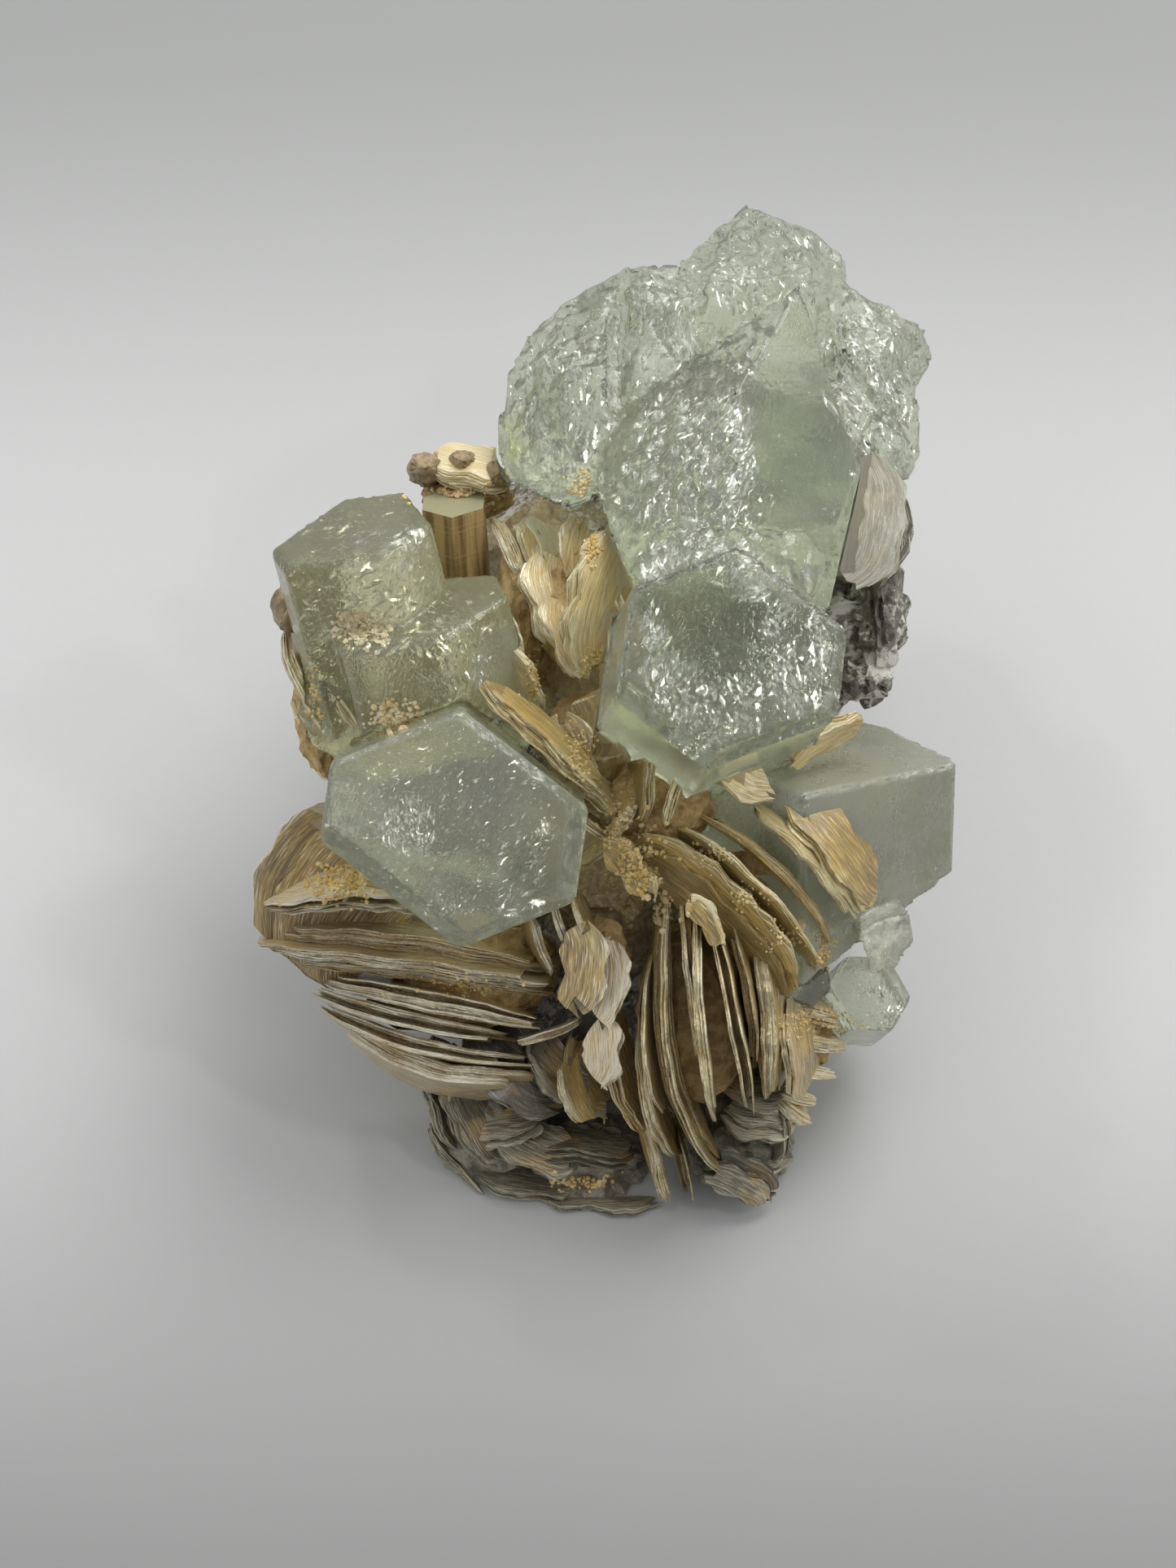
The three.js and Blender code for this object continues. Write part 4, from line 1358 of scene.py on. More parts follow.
def glint(face: Vector) -> Vector:
    """The way a flake must face, under a face, to send the window's light out to the display side.

    Args:
        face: Direction of the face above it, on the display face.

    Returns:
        The flake's direction there.
    """
    total = Vector()
    for way in (Vector((0, 0, 1)), WINDOW_WAY):
        side = (way - face * way.dot(face)) / BERYL_IOR
        total += side + face * math.sqrt(1.0 - side.length_squared)
    return total.normalized()


@dataclass(frozen=True)
class Frost:
    """Bright flakes of small cracks, close under whatever face is seen from the display side.

    centre, reach: of the patch on the display face, mm. The rest is as for a veil.
    """

    centre: Pair
    reach: Pair
    count: int
    size: float
    turn: float = 0.0
    slim: float = 0.2

    def specks(self, draw: random.Random, skin: BVHTree) -> Iterable[Speck]:
        """Its flakes.

        Args:
            draw: Source of chance.
            skin: The crystal's surface.

        Yields:
            One flake at a time, in the frame of the base.
        """
        to_face, high, spread = FACE_MM_TO_BASE.to_3x3().inverted(), 80, 0.13
        for _ in range(self.count):
            angle, far = draw.uniform(0, 2 * math.pi), math.sqrt(draw.random())
            x = self.centre[0] + math.cos(angle) * far * self.reach[0]
            y = self.centre[1] + math.sin(angle) * far * self.reach[1]
            jolt = chance_jolt(draw, spread)
            size = self.size * (0.25 + 0.75 * draw.random() ** 2) * MM
            turn = self.turn + draw.gauss(0, 0.35)
            slim = self.slim * draw.uniform(0.6, 1.4)
            under = draw.uniform(0.15, 1.1) * MM + size * 0.4
            start = FACE_MM_TO_BASE @ Vector((x, y, high))
            hit, normal, _, _ = skin.ray_cast(start, face_direction(Vector((0, 0, -1))))
            if hit is not None:
                way = glint((to_face @ normal).normalized()) + jolt
                yield Speck(hit - normal * under, face_direction(way), size, turn, slim)


@dataclass(frozen=True)
class Crystal:
    """A beryl crystal, or several grown together.

    node_name: the CAD node. sound: directions of its sound faces. veils, frosts: its healed cracks,
    deep and just under its faces. motes, mote_size: number and size of its loose bright flakes.
    voxel: mm between its surface's points.
    """

    node_name: str
    finish: BerylFinish
    sound: tuple[Vector, ...]
    veils: tuple[Veil, ...] = ()
    frosts: tuple[Frost, ...] = ()
    motes: int = 100
    mote_size: float = 0.16
    voxel: float = 0.36
    wear: Wear = Wear()

    def build(
        self,
        weather: WeatherTree,
        etching: Etching,
        flakes: ScatterTree,
        solids: list[bpy.types.Object],
        seed: int,
    ) -> None:
        """Makes the crystal and what is inside it.

        Args:
            weather: The tree that etches surfaces.
            etching: The shader group of etched beryl.
            flakes: The tree that sets flakes.
            solids: List that the crystal's surface joins.
            seed: Tells this crystal's noise from the others'.
        """
        piece = grained_copy(f"{self.node_name}_crystal", self.node_name, self.voxel, worn=2)
        near = [max(v.normal.dot(f) for f in self.sound) for v in piece.data.vertices]
        shares = [min(1.0, max(0.0, (n - SOUND_FROM) / SOUND_WIDTH)) for n in near]
        write(piece.data, {"sound": shares})
        weather.roughen(piece, self.wear, self.finish.make(etching), float(seed))
        for polygon in piece.data.polygons:
            polygon.use_smooth = True
        solids.append(settle(piece, Slot.BERYL, (self.node_name,)))
        draw = random.Random(seed)
        skin = surface_of([piece])
        bright = [k for v in self.veils if not v.dark for k in v.specks(draw)]
        bright.extend(k for f in self.frosts for k in f.specks(draw, skin))
        bright.extend(self.glints(piece, draw))
        dark = [k for v in self.veils if v.dark for k in v.specks(draw)]
        bright = [k for k in bright if not self.cleared(k, draw)]
        # dark flakes, one sheet of which is painted shade, make a piece apart from the bright ones
        for label, specks, finish in (("veils", bright, VEIL), ("inclusions", dark, DARK_FLAKE)):
            kept = [k for k in specks if self.holds(skin, k)]
            if kept:
                name = f"{self.node_name}_{label}"
                settle(flakes.scatter(name, kept, finish.make(), FLAKE_GIRTH), Slot.BERYL)

    def glints(self, piece: bpy.types.Object, draw: random.Random) -> list[Speck]:
        """Loose bright flakes close under the surface, nearly level with it.

        Args:
            piece: The crystal's surface.
            draw: Source of chance.

        Returns:
            The flakes.
        """
        faces = piece.data.polygons
        made = []
        for _ in range(self.motes):
            face = faces[draw.randrange(len(faces))]
            place = face.center - face.normal * draw.uniform(0.25, 1.6) * MM
            facing = (face.normal + chance_jolt(draw, 0.3)).normalized()
            size = self.mote_size * (0.3 + 0.7 * draw.random() ** 3) * MM
            made.append(Speck(place, facing, size, draw.uniform(0, 3.1), draw.uniform(0.2, 0.8)))
        return made

    def cleared(self, speck: Speck, draw: random.Random) -> bool:
        """Whether a flake falls away because it lies in a clear spot.

        Args:
            speck: The flake.
            draw: Source of chance.

        Returns:
            True if it does.
        """
        core = 0.75  # part of a spot's radius in which its flakes may fall away
        for spot in self.finish.spots:
            away = (speck.place - FACE_MM_TO_BASE @ Vector(spot.centre)).length / MM
            if away < spot.radius * core and draw.random() < spot.clearer:
                return True
        return False

    def holds(self, skin: BVHTree, speck: Speck) -> bool:
        """Whether a flake lies wholly within the crystal.

        Args:
            skin: The crystal's surface.
            speck: The flake.

        Returns:
            True if it does.
        """
        clearance, most_crossings, hop = 0.75, 40, 1e-6  # of its size; a number; metres
        near, _, _, gap = skin.find_nearest(speck.place)
        if near is None or gap < clearance * speck.size:
            return False
        way, place, crossings = Vector((0.13, 0.21, 0.97)).normalized(), speck.place, 0
        while crossings < most_crossings:
            hit, _, _, _ = skin.ray_cast(place, way)
            if hit is None:
                break
            crossings += 1
            place = hit + way * hop
        return crossings % 2 == 1


# ---------------------------------------------------------------- matrix, rock, bronze and crumbs


@dataclass(frozen=True)
class SharedFinish:
    """A mottled, finely grained opaque material that several pieces wear."""

    name: str
    colour: Colour
    roughness: float
    other: Colour
    mottle: float
    metallic: float = 0.0
    bump: float = 0.7

    @cache
    def make(self) -> bpy.types.Material:
        """Makes the material once.

        Returns:
            The material.
        """
        material, tree = blank_material(self.name)
        place = object_place(tree)
        blotch = noise(tree, place, self.mottle, 4.0, 0.65)
        grain = noise(tree, place, 7.0, 3.0, 0.6)
        share = (blotch * 0.75 + grain * 0.25).step(0.4, 0.6)
        inputs = {
            "Base Color": mix(tree, share, self.colour, self.other),
            "Roughness": grain * 0.2 + (self.roughness - 0.1),
            "Metallic": self.metallic,
        }
        end_material(tree, (grain, self.bump, 0.15), inputs)
        return material


VEIL = SharedFinish("crack_veil", (0.96, 0.97, 0.94), 0.14, (1.0, 1.0, 0.98), 1.5, 0.9, 0.1)
ORANGE_CRUST = SharedFinish("orange_crust", (0.62, 0.42, 0.13), 0.75, (0.82, 0.67, 0.34), 0.6)
CREAM_CRUST = SharedFinish("cream_crust", (0.68, 0.50, 0.24), 0.7, (0.84, 0.73, 0.48), 0.6)
YELLOW_CRUST = SharedFinish("yellow_crust", (0.72, 0.54, 0.22), 0.7, (0.82, 0.70, 0.40), 0.8)
PALE_SPLINTER = SharedFinish("pale_splinters", (0.60, 0.50, 0.29), 0.45, (0.80, 0.73, 0.50), 0.8)
KNOB = SharedFinish("tan_knob", (0.24, 0.17, 0.09), 0.5, (0.44, 0.34, 0.20), 0.5)
BROWN_MATRIX = SharedFinish("brown_matrix", (0.38, 0.25, 0.10), 0.7, (0.62, 0.45, 0.21), 0.7)
# dark flakes; the sheet along the gabled crystal's upper left edge is painted shade
DARK_FLAKE = SharedFinish("dark_inclusions", (0.05, 0.06, 0.055), 0.3, (0.10, 0.11, 0.10), 1.0)
GREY_FLAKE = SharedFinish("grey_flakes", (0.13, 0.115, 0.085), 0.3, (0.33, 0.30, 0.23), 0.6)


@dataclass(frozen=True)
class BronzeFinish:
    """A pile of mica in one six-sided prism: bronze, striped sides and a greenish top."""

    axis: Triple = (-0.05, 0.83, 0.55)

    def make(self) -> bpy.types.Material:
        """The finish as a material.

        Returns:
            The material.
        """
        material, tree = blank_material("bronze_mica")
        place = object_place(tree)
        axis = face_direction(Vector(self.axis))
        along = place.vector("DOT_PRODUCT", tuple(axis))
        stripe = noise(tree, drawn_out(tree, place, axis, 0.06, 0.9), 1.0, 3.0, 0.6)
        layer = noise(tree, combine(tree, along * 3.0, 0.0, 0.0), 1.0, 3.0, 0.6)
        normal = read(tree, "ShaderNodeNewGeometry", result="Normal")
        top = normal.vector("DOT_PRODUCT", tuple(axis)).step(0.7, 0.9)
        colour = mix(tree, stripe.step(0.35, 0.65), (0.24, 0.15, 0.06), (0.62, 0.45, 0.20))
        colour = mix(tree, layer.step(0.5, 0.7) * 0.4, colour, (0.72, 0.58, 0.34))
        colour = mix(tree, top, colour, (0.36, 0.34, 0.21))
        inputs = {"Base Color": colour, "Roughness": layer * 0.25 + 0.2}
        end_material(tree, (stripe + layer * 0.5, 0.7, 0.2), inputs)
        return material


@dataclass(frozen=True)
class RockFinish:
    """Mottled grey pegmatite with dark and white grains."""

    warm: tuple[Spot, ...] = (
        Spot((-4, 21, 3), 21.0, colour=(0.62, 0.47, 0.28)),
        Spot((3, -8, 6), 16.0, colour=(0.50, 0.37, 0.20)),
    )

    @cache
    def make(self) -> bpy.types.Material:
        """Makes the material once.

        Returns:
            The material.
        """
        material, tree = blank_material("pegmatite")
        place = object_place(tree)
        broad = noise(tree, place, 0.25, 4.0, 0.6)
        grain = noise(tree, place, 1.4, 5.0, 0.65)
        fine = noise(tree, place, 5.0, 3.0, 0.6)
        colour = mix(tree, broad.step(0.4, 0.62), (0.16, 0.148, 0.125), (0.30, 0.27, 0.22))
        colour = mix(tree, grain.step(0.43, 0.36) * 0.85, colour, (0.04, 0.035, 0.03))
        white = (grain * 0.6 + broad * 0.7).step(0.66, 0.73)
        colour = mix(tree, white, colour, (0.66, 0.64, 0.58))
        colour = mix(tree, fine.step(0.6, 0.75) * 0.5, colour, (0.45, 0.40, 0.33))
        for spot in self.warm:
            tan = mix(tree, grain.step(0.4, 0.6), spot.colour, (0.74, 0.62, 0.42))
            colour = mix(tree, spot.mask(tree, place, broad), colour, tan)
        inputs = {"Base Color": colour, "Roughness": fine * 0.4 + 0.35}
        end_material(tree, (grain + fine * 0.4, 0.8, 0.35), inputs)
        return material


PEGMATITE = RockFinish()


@dataclass(frozen=True)
class Rock:
    """The lump of pegmatite that everything grows on."""

    voxel: float = 0.8
    wear: Wear = Wear(1.2, 1.4, 4.0, 0.5, 5.0, 0.3)

    def build(self, weather: WeatherTree) -> bpy.types.Object:
        """Makes the rock.

        Args:
            weather: The tree that roughens surfaces.

        Returns:
            The piece.
        """
        piece = grained_copy("pegmatite_lump", "pegmatite_rock", self.voxel)
        weather.roughen(piece, self.wear, PEGMATITE.make(), ROCK_SEED)
        return settle(piece, Slot.ROCK, ("pegmatite_rock",))


@dataclass(frozen=True)
class Lumps:
    """Rough lumps of matrix or rock that the books of mica grow from.

    lumps: centre and half sizes of each, in mm on the display face.
    """

    name: str
    finish: Union[SharedFinish, RockFinish]
    slot: Slot
    wear: Wear
    lumps: tuple[tuple[Triple, Triple], ...]

    def build(self, weather: WeatherTree, cutters: Cutters) -> bpy.types.Object:
        """Makes the lumps, cut back from the crystals.

        Args:
            weather: The tree that roughens surfaces.
            cutters: Grown copies of the crystals.

        Returns:
            The piece.
        """
        work = bmesh.new()
        for centre, radii in self.lumps:
            place = Matrix.Translation(centre) @ Matrix.Diagonal((*radii, 1.0))
            place = FACE_MM_TO_BASE @ place
            bmesh.ops.create_icosphere(work, subdivisions=4, radius=1.0, matrix=place)
        piece = shaped(self.name, work)
        weather.roughen(piece, self.wear, self.finish.make(), LUMP_SEED)
        cutters.trim(piece)
        return settle(piece, self.slot)


@dataclass(frozen=True)
class Patch:
    """A patch of crumbs or flakes on whatever surface is there.

    centre: on the display face, mm. reach: half sizes of the patch across and up. count: of its
    crumbs. size: the largest, mm.
    """

    centre: Triple
    reach: Pair
    count: int
    size: float


@dataclass(frozen=True)
class Crust:
    """Patches of one kind of crumb or flake.

    girth: their height beside their width, and how far their corners are pushed beside it.
    """

    name: str
    finish: SharedFinish
    slot: Slot
    patches: tuple[Patch, ...]
    shape: Shape = Shape.CRUMB
    girth: Pair = (1.0, 0.3)

    def build(self, trees: dict[Shape, ScatterTree], skin: BVHTree, seed: int) -> None:
        """Makes the crumbs where rays from outside meet the specimen.

        Args:
            trees: The trees that set shapes.
            skin: The surfaces that carry the crumbs.
            seed: Seed of their places.
        """
        draw = random.Random(seed)
        lift, reach, sunk = 9.0, 20 * MM, 0.2
        specks = []
        for patch in self.patches:
            for _ in range(patch.count):
                x, y = draw.gauss(0, 0.5) * patch.reach[0], draw.gauss(0, 0.5) * patch.reach[1]
                start = FACE_MM_TO_BASE @ (Vector(patch.centre) + Vector((x, y, lift)))
                hit, normal, _, _ = skin.ray_cast(start, -FACE_OUT, reach)
                if hit is None:
                    continue
                size = patch.size * (0.35 + 0.65 * draw.random() ** 1.5) * MM
                facing = (normal + chance_jolt(draw, 0.4)).normalized()
                turn, slim = draw.uniform(0, math.pi), draw.uniform(0.5, 1.0)
                specks.append(Speck(hit + normal * size * sunk, facing, size, turn, slim))
        piece = trees[self.shape].scatter(self.name, specks, self.finish.make(), self.girth)
        settle(piece, self.slot)


# ---------------------------------------------------------------- the specimen's parts

CRYSTALS = (
    Crystal(
        "aquamarine_cluster",
        BerylFinish(
            "beryl_cluster",
            pale=(0.76, 0.78, 0.69),
            milky=(0.93, 0.94, 0.89),
            glitter=2.2,
            facet_scale=1.0,
            scratch_scale=1.3,
            streaked=0.3,
            spots=(
                Spot((11.5, 15.4, 27), 7.5, 0.95, (0.48, 0.52, 0.43)),
                Spot((21, 32, 14), 7.5, 0.3, (0.74, 0.84, 0.70)),
                Spot((11, 43, 7), 5, 0.5, (0.62, 0.65, 0.58)),
                Spot((2.4, 37, 7), 1.8, 0, (0.84, 0.86, 0.56)),
                Spot((-7.6, 33.4, 4), 3.4, 0.3, (0.86, 0.88, 0.52)),
                Spot((3, 47, 2), 9, 0, (0.58, 0.60, 0.53)),
                Spot((-2, 37, 7), 7, 0, (0.66, 0.68, 0.60)),
                Spot((17, 54, -4), 8, 0, (0.62, 0.64, 0.58)),
            ),
        ),
        (*habit((0.1, 0.15, 0.98), -8), face_direction(Vector((0.62, 0.207, 0.757)))),
        veils=(
            # glitter under the gabled crystal's left face
            Veil((9, 27, 13), (-0.2, 0.1, 1), (6.5, 7), 320, 0.55, 1.4, -0.5, 0.25),
            Veil((12, 32, 14), (-0.3, 0.2, 1), (3, 8), 250, 0.6, 1.2, -0.4, 0.25),
            Veil((8, 21, 17), (0.1, -0.3, 1), (6, 3), 250, 0.5, 1.2, -0.3, 0.3),
            # painted shade: a dark band of flakes along its upper left edge, where the bevel shows
            # dark
            Veil((12, 41, 9), (-0.5, 0.7, 0.6), (7, 2), 160, 0.4, 1.0, -0.9, 0.2, dark=True),
            Veil((14, 40, 10), (-0.5, 0.7, 0.6), (6, 2.5), 200, 0.35, 0.6, -0.9, 0.3),
            # sugary peak and dome
            Veil((18, 53, -5), (0, 0.4, 1), (8, 5), 540, 0.5, 1.5, 0.4, 0.25),
            Veil((17, 48, 0), (0, 0.4, 1), (7, 5), 70, 0.35, 1.5, 0.7, 0.2, dark=True),
            Veil((5, 44, 3), (0.2, 0, 1), (4.5, 8), 290, 0.45, 1.2, -0.3, 0.25),
            Veil((6, 46, 2), (0.2, 0, 1), (4.5, 8), 90, 0.26, 2.0, 0.5, 0.25, dark=True),
            Veil((-3.5, 37, 6), (-0.3, 0.1, 1), (4.5, 8), 360, 0.6, 1.2, 0.1, 0.2),
            Veil((1.8, 42, 2), (1, 0.1, 0.2), (5, 8), 160, 0.3, 0.3, 0, 0.3),
            # broken crystal on the right
            Veil((28, 41, 0), (0.2, 0.3, 1), (5, 6.5), 470, 0.6, 1.4, 0.6, 0.25),
            Veil((29, 34, -1), (0.4, -0.2, 1), (4, 4), 180, 0.5, 1.0, 0.3, 0.3),
            Veil((27, 34, 2), (0.4, -0.2, 1), (2, 2.4), 70, 0.4, 1.0, 0.8, 0.3, dark=True),
            Veil((-7.6, 33, 4), (-0.3, 0.1, 1), (2, 3), 200, 0.5, 0.6, 0.2, 0.3),
            # wispy cracks across the middle
            Veil((14, 20, 19), (0.25, 0.75, 0.6), (9, 2.5), 250, 0.5, 0.9, -1.1, 0.25),
            Veil((14, 19, 20), (0.25, 0.75, 0.6), (9, 2.5), 200, 1.4, 0.9, -1.1, 0.12, jolt=0.18),
            # round the window of the whole prism in front
            Veil((16, 15.5, 24.4), (0.2, 0, 1), (1.3, 2.2), 200, 0.5, 0.4, 0.3),
            Veil((13, 8, 24.4), (0, 0.2, 1), (7.5, 2.8), 700, 0.32, 0.8, 0, 0.5, jolt=0.2),
            Veil((6.8, 10, 23), (-0.8, 0, 0.6), (3, 5), 180, 0.5, 0.5, -0.2, jolt=0.16),
            Veil((7.5, 13, 24), (-0.2, 0, 1), (2, 5), 160, 1.0, 0.5, -0.3, 0.16, jolt=0.16),
            Veil((21.5, 14, 22), (0.8, 0, 0.6), (4, 2.4), 140, 0.6, 0.5, jolt=0.15),
            Veil((19.5, 9, 23.5), (0.3, 0, 1), (2.4, 4), 180, 0.5, 0.5, 0.4, 0.3, jolt=0.15),
            Veil((14, 11, 20), (0, 0, 1), (7, 7), 180, 0.3, 2.5),
        ),
        frosts=(
            Frost((9.5, 30), (6.5, 7.5), 760, 1.0, -0.5),
            Frost((10.5, 31), (6, 8), 400, 2.2, -0.5, 0.12),
            Frost((12, 25), (4, 4), 200, 1.8, -0.4, 0.15),
            Frost((10, 21), (6, 2.6), 260, 1.5, -0.3),
            Frost((-2, 38), (5, 8), 300, 1.3, 0.1),
            Frost((6.5, 44), (3.5, 8), 180, 1.0, -0.3),
            Frost((17, 52), (8, 6), 340, 1.0, 0.4),
            Frost((28, 40), (5, 8), 560, 1.6, 0.5),
            Frost((13, 8), (7.5, 3.4), 120, 0.8, 0, 0.4),
            Frost((20, 10), (2, 4), 60, 1.0, 0, 0.3),
            Frost((6.8, 12), (1.6, 6), 120, 1.0),
        ),
        motes=900,
        mote_size=0.42,
        voxel=0.4,
        wear=Wear(0.25, 0.8, 2.2, 0.14),
    ),
    Crystal(
        "aquamarine_front_left",
        BerylFinish(
            "beryl_front_left",
            pale=(0.90, 0.91, 0.77),
            milky=(1.0, 1.0, 0.92),
            clear_share=0.35,
            cloud_scale=0.16,
            transmission=0.86,
            cloudy=0.16,
            spots=(Spot((-5, -8, 20), 4.5, 0.6, (0.66, 0.69, 0.58)),),
        ),
        habit((0.03, -0.06, 1), 52),
        veils=(
            Veil((-17, -4.5, 20.8), (0.1, 0.1, 1), (2.2, 2.4), 160, 0.36, 0.3, jolt=0.12),
            Veil((-12, -4, 20), (0, 0, 1), (9, 9), 540, 0.26, 1.0, -0.8, 0.2),
            Veil((-15, -4, 19.6), (0, 0, 1), (6, 8), 180, 0.4, 0.8, -0.8, 0.12),
            Veil((-4.6, -6.2, 20), (0.7, 0.2, 0.6), (1.6, 4), 200, 0.36, 0.4),
            Veil((-13, -11.5, 20), (-0.2, -0.8, 0.5), (8, 1.5), 160, 0.26, 0.4),
            Veil((-5, -9, 20), (0.3, 0, 1), (3, 4), 120, 0.3, 0.5, -0.8, 0.2, dark=True),
        ),
        frosts=(
            Frost((-12, -4), (9, 8), 180, 0.6, -0.8),
            Frost((-16.5, -4), (2.6, 2.6), 100, 0.8),
            Frost((-6, -9), (3, 4), 120, 0.9, -0.8),
        ),
        motes=900,
        mote_size=0.3,
    ),
    Crystal(
        "aquamarine_right",
        BerylFinish(
            "beryl_right",
            pale=(0.80, 0.80, 0.67),
            milky=(0.92, 0.92, 0.82),
            clear_share=0.1,
            cloud_scale=0.2,
            transmission=0.74,
            cloudy=0.36,
            # painted light: its top end is painted paler and cloudier, where the light from above
            # falls on it
            spots=(Spot((24, 1.4, 8), 8, -0.6, (0.96, 0.94, 0.74)),),
        ),
        habit((0, 0.935, 0.353), -1),
        veils=(
            Veil((26, -6, 11.5), (0, 0.1, 1), (6, 8), 160, 0.2, 1.5),
            Veil((24, 1, 8), (0, 1, 0.4), (7, 3), 160, 0.24, 0.6),
        ),
        motes=400,
        mote_size=0.26,
    ),
    Crystal(
        "aquamarine_left",
        BerylFinish(
            "beryl_left",
            pale=(0.77, 0.76, 0.56),
            milky=(0.87, 0.86, 0.70),
            transmission=0.9,
            cloudy=0.08,
            clear_share=0.7,
            absorbed=(0.86, 0.86, 0.46),
            etch=0.35,
            streaked=0.5,
            spots=(
                Spot((-19.5, 23, 11), 4.0, -0.8, (0.80, 0.81, 0.73)),
                Spot((-8.5, 12, 10), 4.0, -0.5, (0.92, 0.95, 0.95)),
            ),
        ),
        (*habit((-0.2, 0.836, 0.51), 27), *habit((-0.2, 0.836, 0.51), 22)),
        veils=(
            Veil((-13.3, 9.5, 12), (0, 0.2, 1), (2.2, 1.4), 160, 0.34, 0.4),
            Veil((-20.5, 19.5, 11), (0.3, 0, 1), (3.5, 1.2), 120, 0.3, 0.4),
            Veil((-22, 24.5, 8), (-0.2, 0.84, 0.5), (6, 4), 160, 0.3, 0.4, -1.3, 0.2),
            Veil((-25.5, 8, 3), (-0.5, 0, 0.8), (3, 5), 160, 0.36, 0.6),
            Veil((-20, 16, 8), (0, 0, 1), (8, 9), 360, 0.6, 2.0, -1.0, 0.15),
            Veil((-13, 12, 8), (0, 0.3, 1), (6, 7), 250, 0.55, 2.0, 0.6, 0.2),
            Veil((-15.5, 21, 9), (0.6, 0.3, 0.8), (3, 4), 180, 0.34, 0.4, 0.2, 0.4),
            Veil((-26, 15, 4), (-0.8, 0.2, 0.5), (2, 8), 160, 0.4, 0.6, -0.2, 0.3),
        ),
        frosts=(
            Frost((-22, 16), (6, 5), 240, 1.1, -1.0),
            Frost((-22, 24), (6, 2.6), 40, 1.1, -1.2),
            Frost((-13, 12), (4, 5), 180, 1.0, 0.6),
            Frost((-16.5, 20), (2, 5), 110, 0.9),
        ),
        motes=600,
        mote_size=0.32,
    ),
    Crystal(
        "aquamarine_small_right",
        BerylFinish("beryl_small_right", clear_share=0.8, glitter=1.2),
        habit((0.1, 0.2, 0.98), 29),
        veils=(
            Veil((28, -20.4, 1), (0.6, 0.6, 0.5), (1.2, 1.2), 60, 0.4, 0.4),
            Veil((29.6, -22.3, 0.5), (0.5, -0.5, 0.7), (1.2, 0.8), 50, 0.4, 0.3),
        ),
        motes=200,
        mote_size=0.2,
        voxel=0.2,
    ),
    Crystal(
        "aquamarine_pocket",
        BerylFinish("beryl_pocket"),
        habit((0.25, -0.1, 0.96), 10),
        voxel=0.2,
    ),
    Crystal(
        "clear_shard",
        BerylFinish("beryl_shard", clear_share=0.9),
        habit((0.3, 0.5, 0.8), 0),
        voxel=0.15,
    ),
)

# ---------------------------------------------------------------- the books of each cluster
# each with its start, end, thick, depth, lean, bow and arch

LEFT_FAN = (
    Book((-32, -14, 10.5), (-6.5, -15.5, 12), 2, 13, 30, 3, 1, corner=0.2),
    Book((-32.4, -15.8, 11.5), (-3, -19.5, 12), 2.4, 15, 12, 1, 1, corner=0.12),
    Book((-29.6, -17.6, 10.5), (-3.5, -20.8, 11), 1.4, 14, 6, 0.7, 1, corner=0.2),
    Book((-26.5, -19, 9.5), (-4.5, -23.4, 10.5), 1.6, 13, 2, 0.3, 1, corner=0.2),
    Book((-27.6, -19.6, 8.2), (-7, -24.4, 9.5), 1.3, 13, -4, -0.6, 1),
    Book((-26.8, -20.6, 6.6), (-5, -26.2, 8.5), 1.5, 12, -8, -1.6, 1),
    Book((-25, -21.6, 5), (-4.5, -27.4, 7), 1.5, 11, -14, -2.7, 1),
    Book((-8.5, -25.2, 9), (0, -22.4, 9.5), 0.6, 6, 0, -0.5),
    Book((-21, 1, 8), (-33.8, -13, 7.4), 1.4, 13, 74, swell=3.8, corner=0.1, tip=0.9),
    Book((-22, -1, 6), (-32.6, -13, 5.2), 1.8, 11, 66, swell=3.4, corner=0.1, tip=0.8),
)
FRONT_FAN = (
    Book((8, -11.5, 13), (14.5, -41, 1.5), 1.8, 11, 2, -3.6, 5),
    Book((8.9, -11.5, 14), (10.9, -28.5, 12), 1, 11, 2, 0, 1),
    Book((10.4, -12.3, 15), (12.6, -34.5, 9), 1, 12, 3, -0.9, 3),
    Book((11.4, -12.4, 15), (15.8, -34, 8.5), 1.2, 12, 5, 0.3, 3),
    Book((12.6, -13.3, 14.3), (15.4, -30, 10), 1.1, 12, 8, 1.1, 2),
    Book((15.2, -13.8, 11.5), (16.6, -32.5, 8), 2.4, 12, 12, 0.7, 2),
    Book((17.4, -21, 9.5), (18.6, -32.5, 6.5), 1.1, 11, 22, 0.8, 1),
    Book((5.4, -16.5, 11.5), (7.2, -34.5, 7), 1.1, 10, 14, -1.7, 2),
    Book((4.4, -24, 9.5), (8.3, -38.5, 3), 1.2, 9, 18, -1.2, 2),
    Book((0.3, -24, 8), (5.5, -37.8, 3), 1.2, 10, 24, -1.4, 2),
    Book((-4, -27, 6), (-0.3, -36, 3), 1.2, 9, 30, -0.9, 1),
    Book((5.8, -33.5, 3.5), (8.4, -43, -1.5), 1.2, 6, -4, 0, 1),
    Book((8.2, -34, 3.5), (10.2, -43, -1.5), 1.2, 6, 4, 0, 1),
)
CENTRE_PLATES = (
    Book((2.6, -23, 12), (3.4, -13.2, 12.6), 0.8, 6, 76, 0.4),
    Book((5, -24, 11), (5.4, -14.4, 11.6), 0.7, 5, 72, 0.4),
    Book((4.2, -29.8, 8.6), (4.6, -21.5, 10), 0.7, 5, 76, 0.3),
    Book((-5.2, -11.5, 13.2), (-2.6, -18.8, 12.2), 0.9, 8, -10, -0.4),
    Book((-3.6, -11, 13.4), (-1.1, -17.2, 12.6), 0.8, 8, 4, -0.3),
    Book((-2.2, -10.5, 13.2), (0, -15.5, 12.8), 0.7, 8, 10),
)
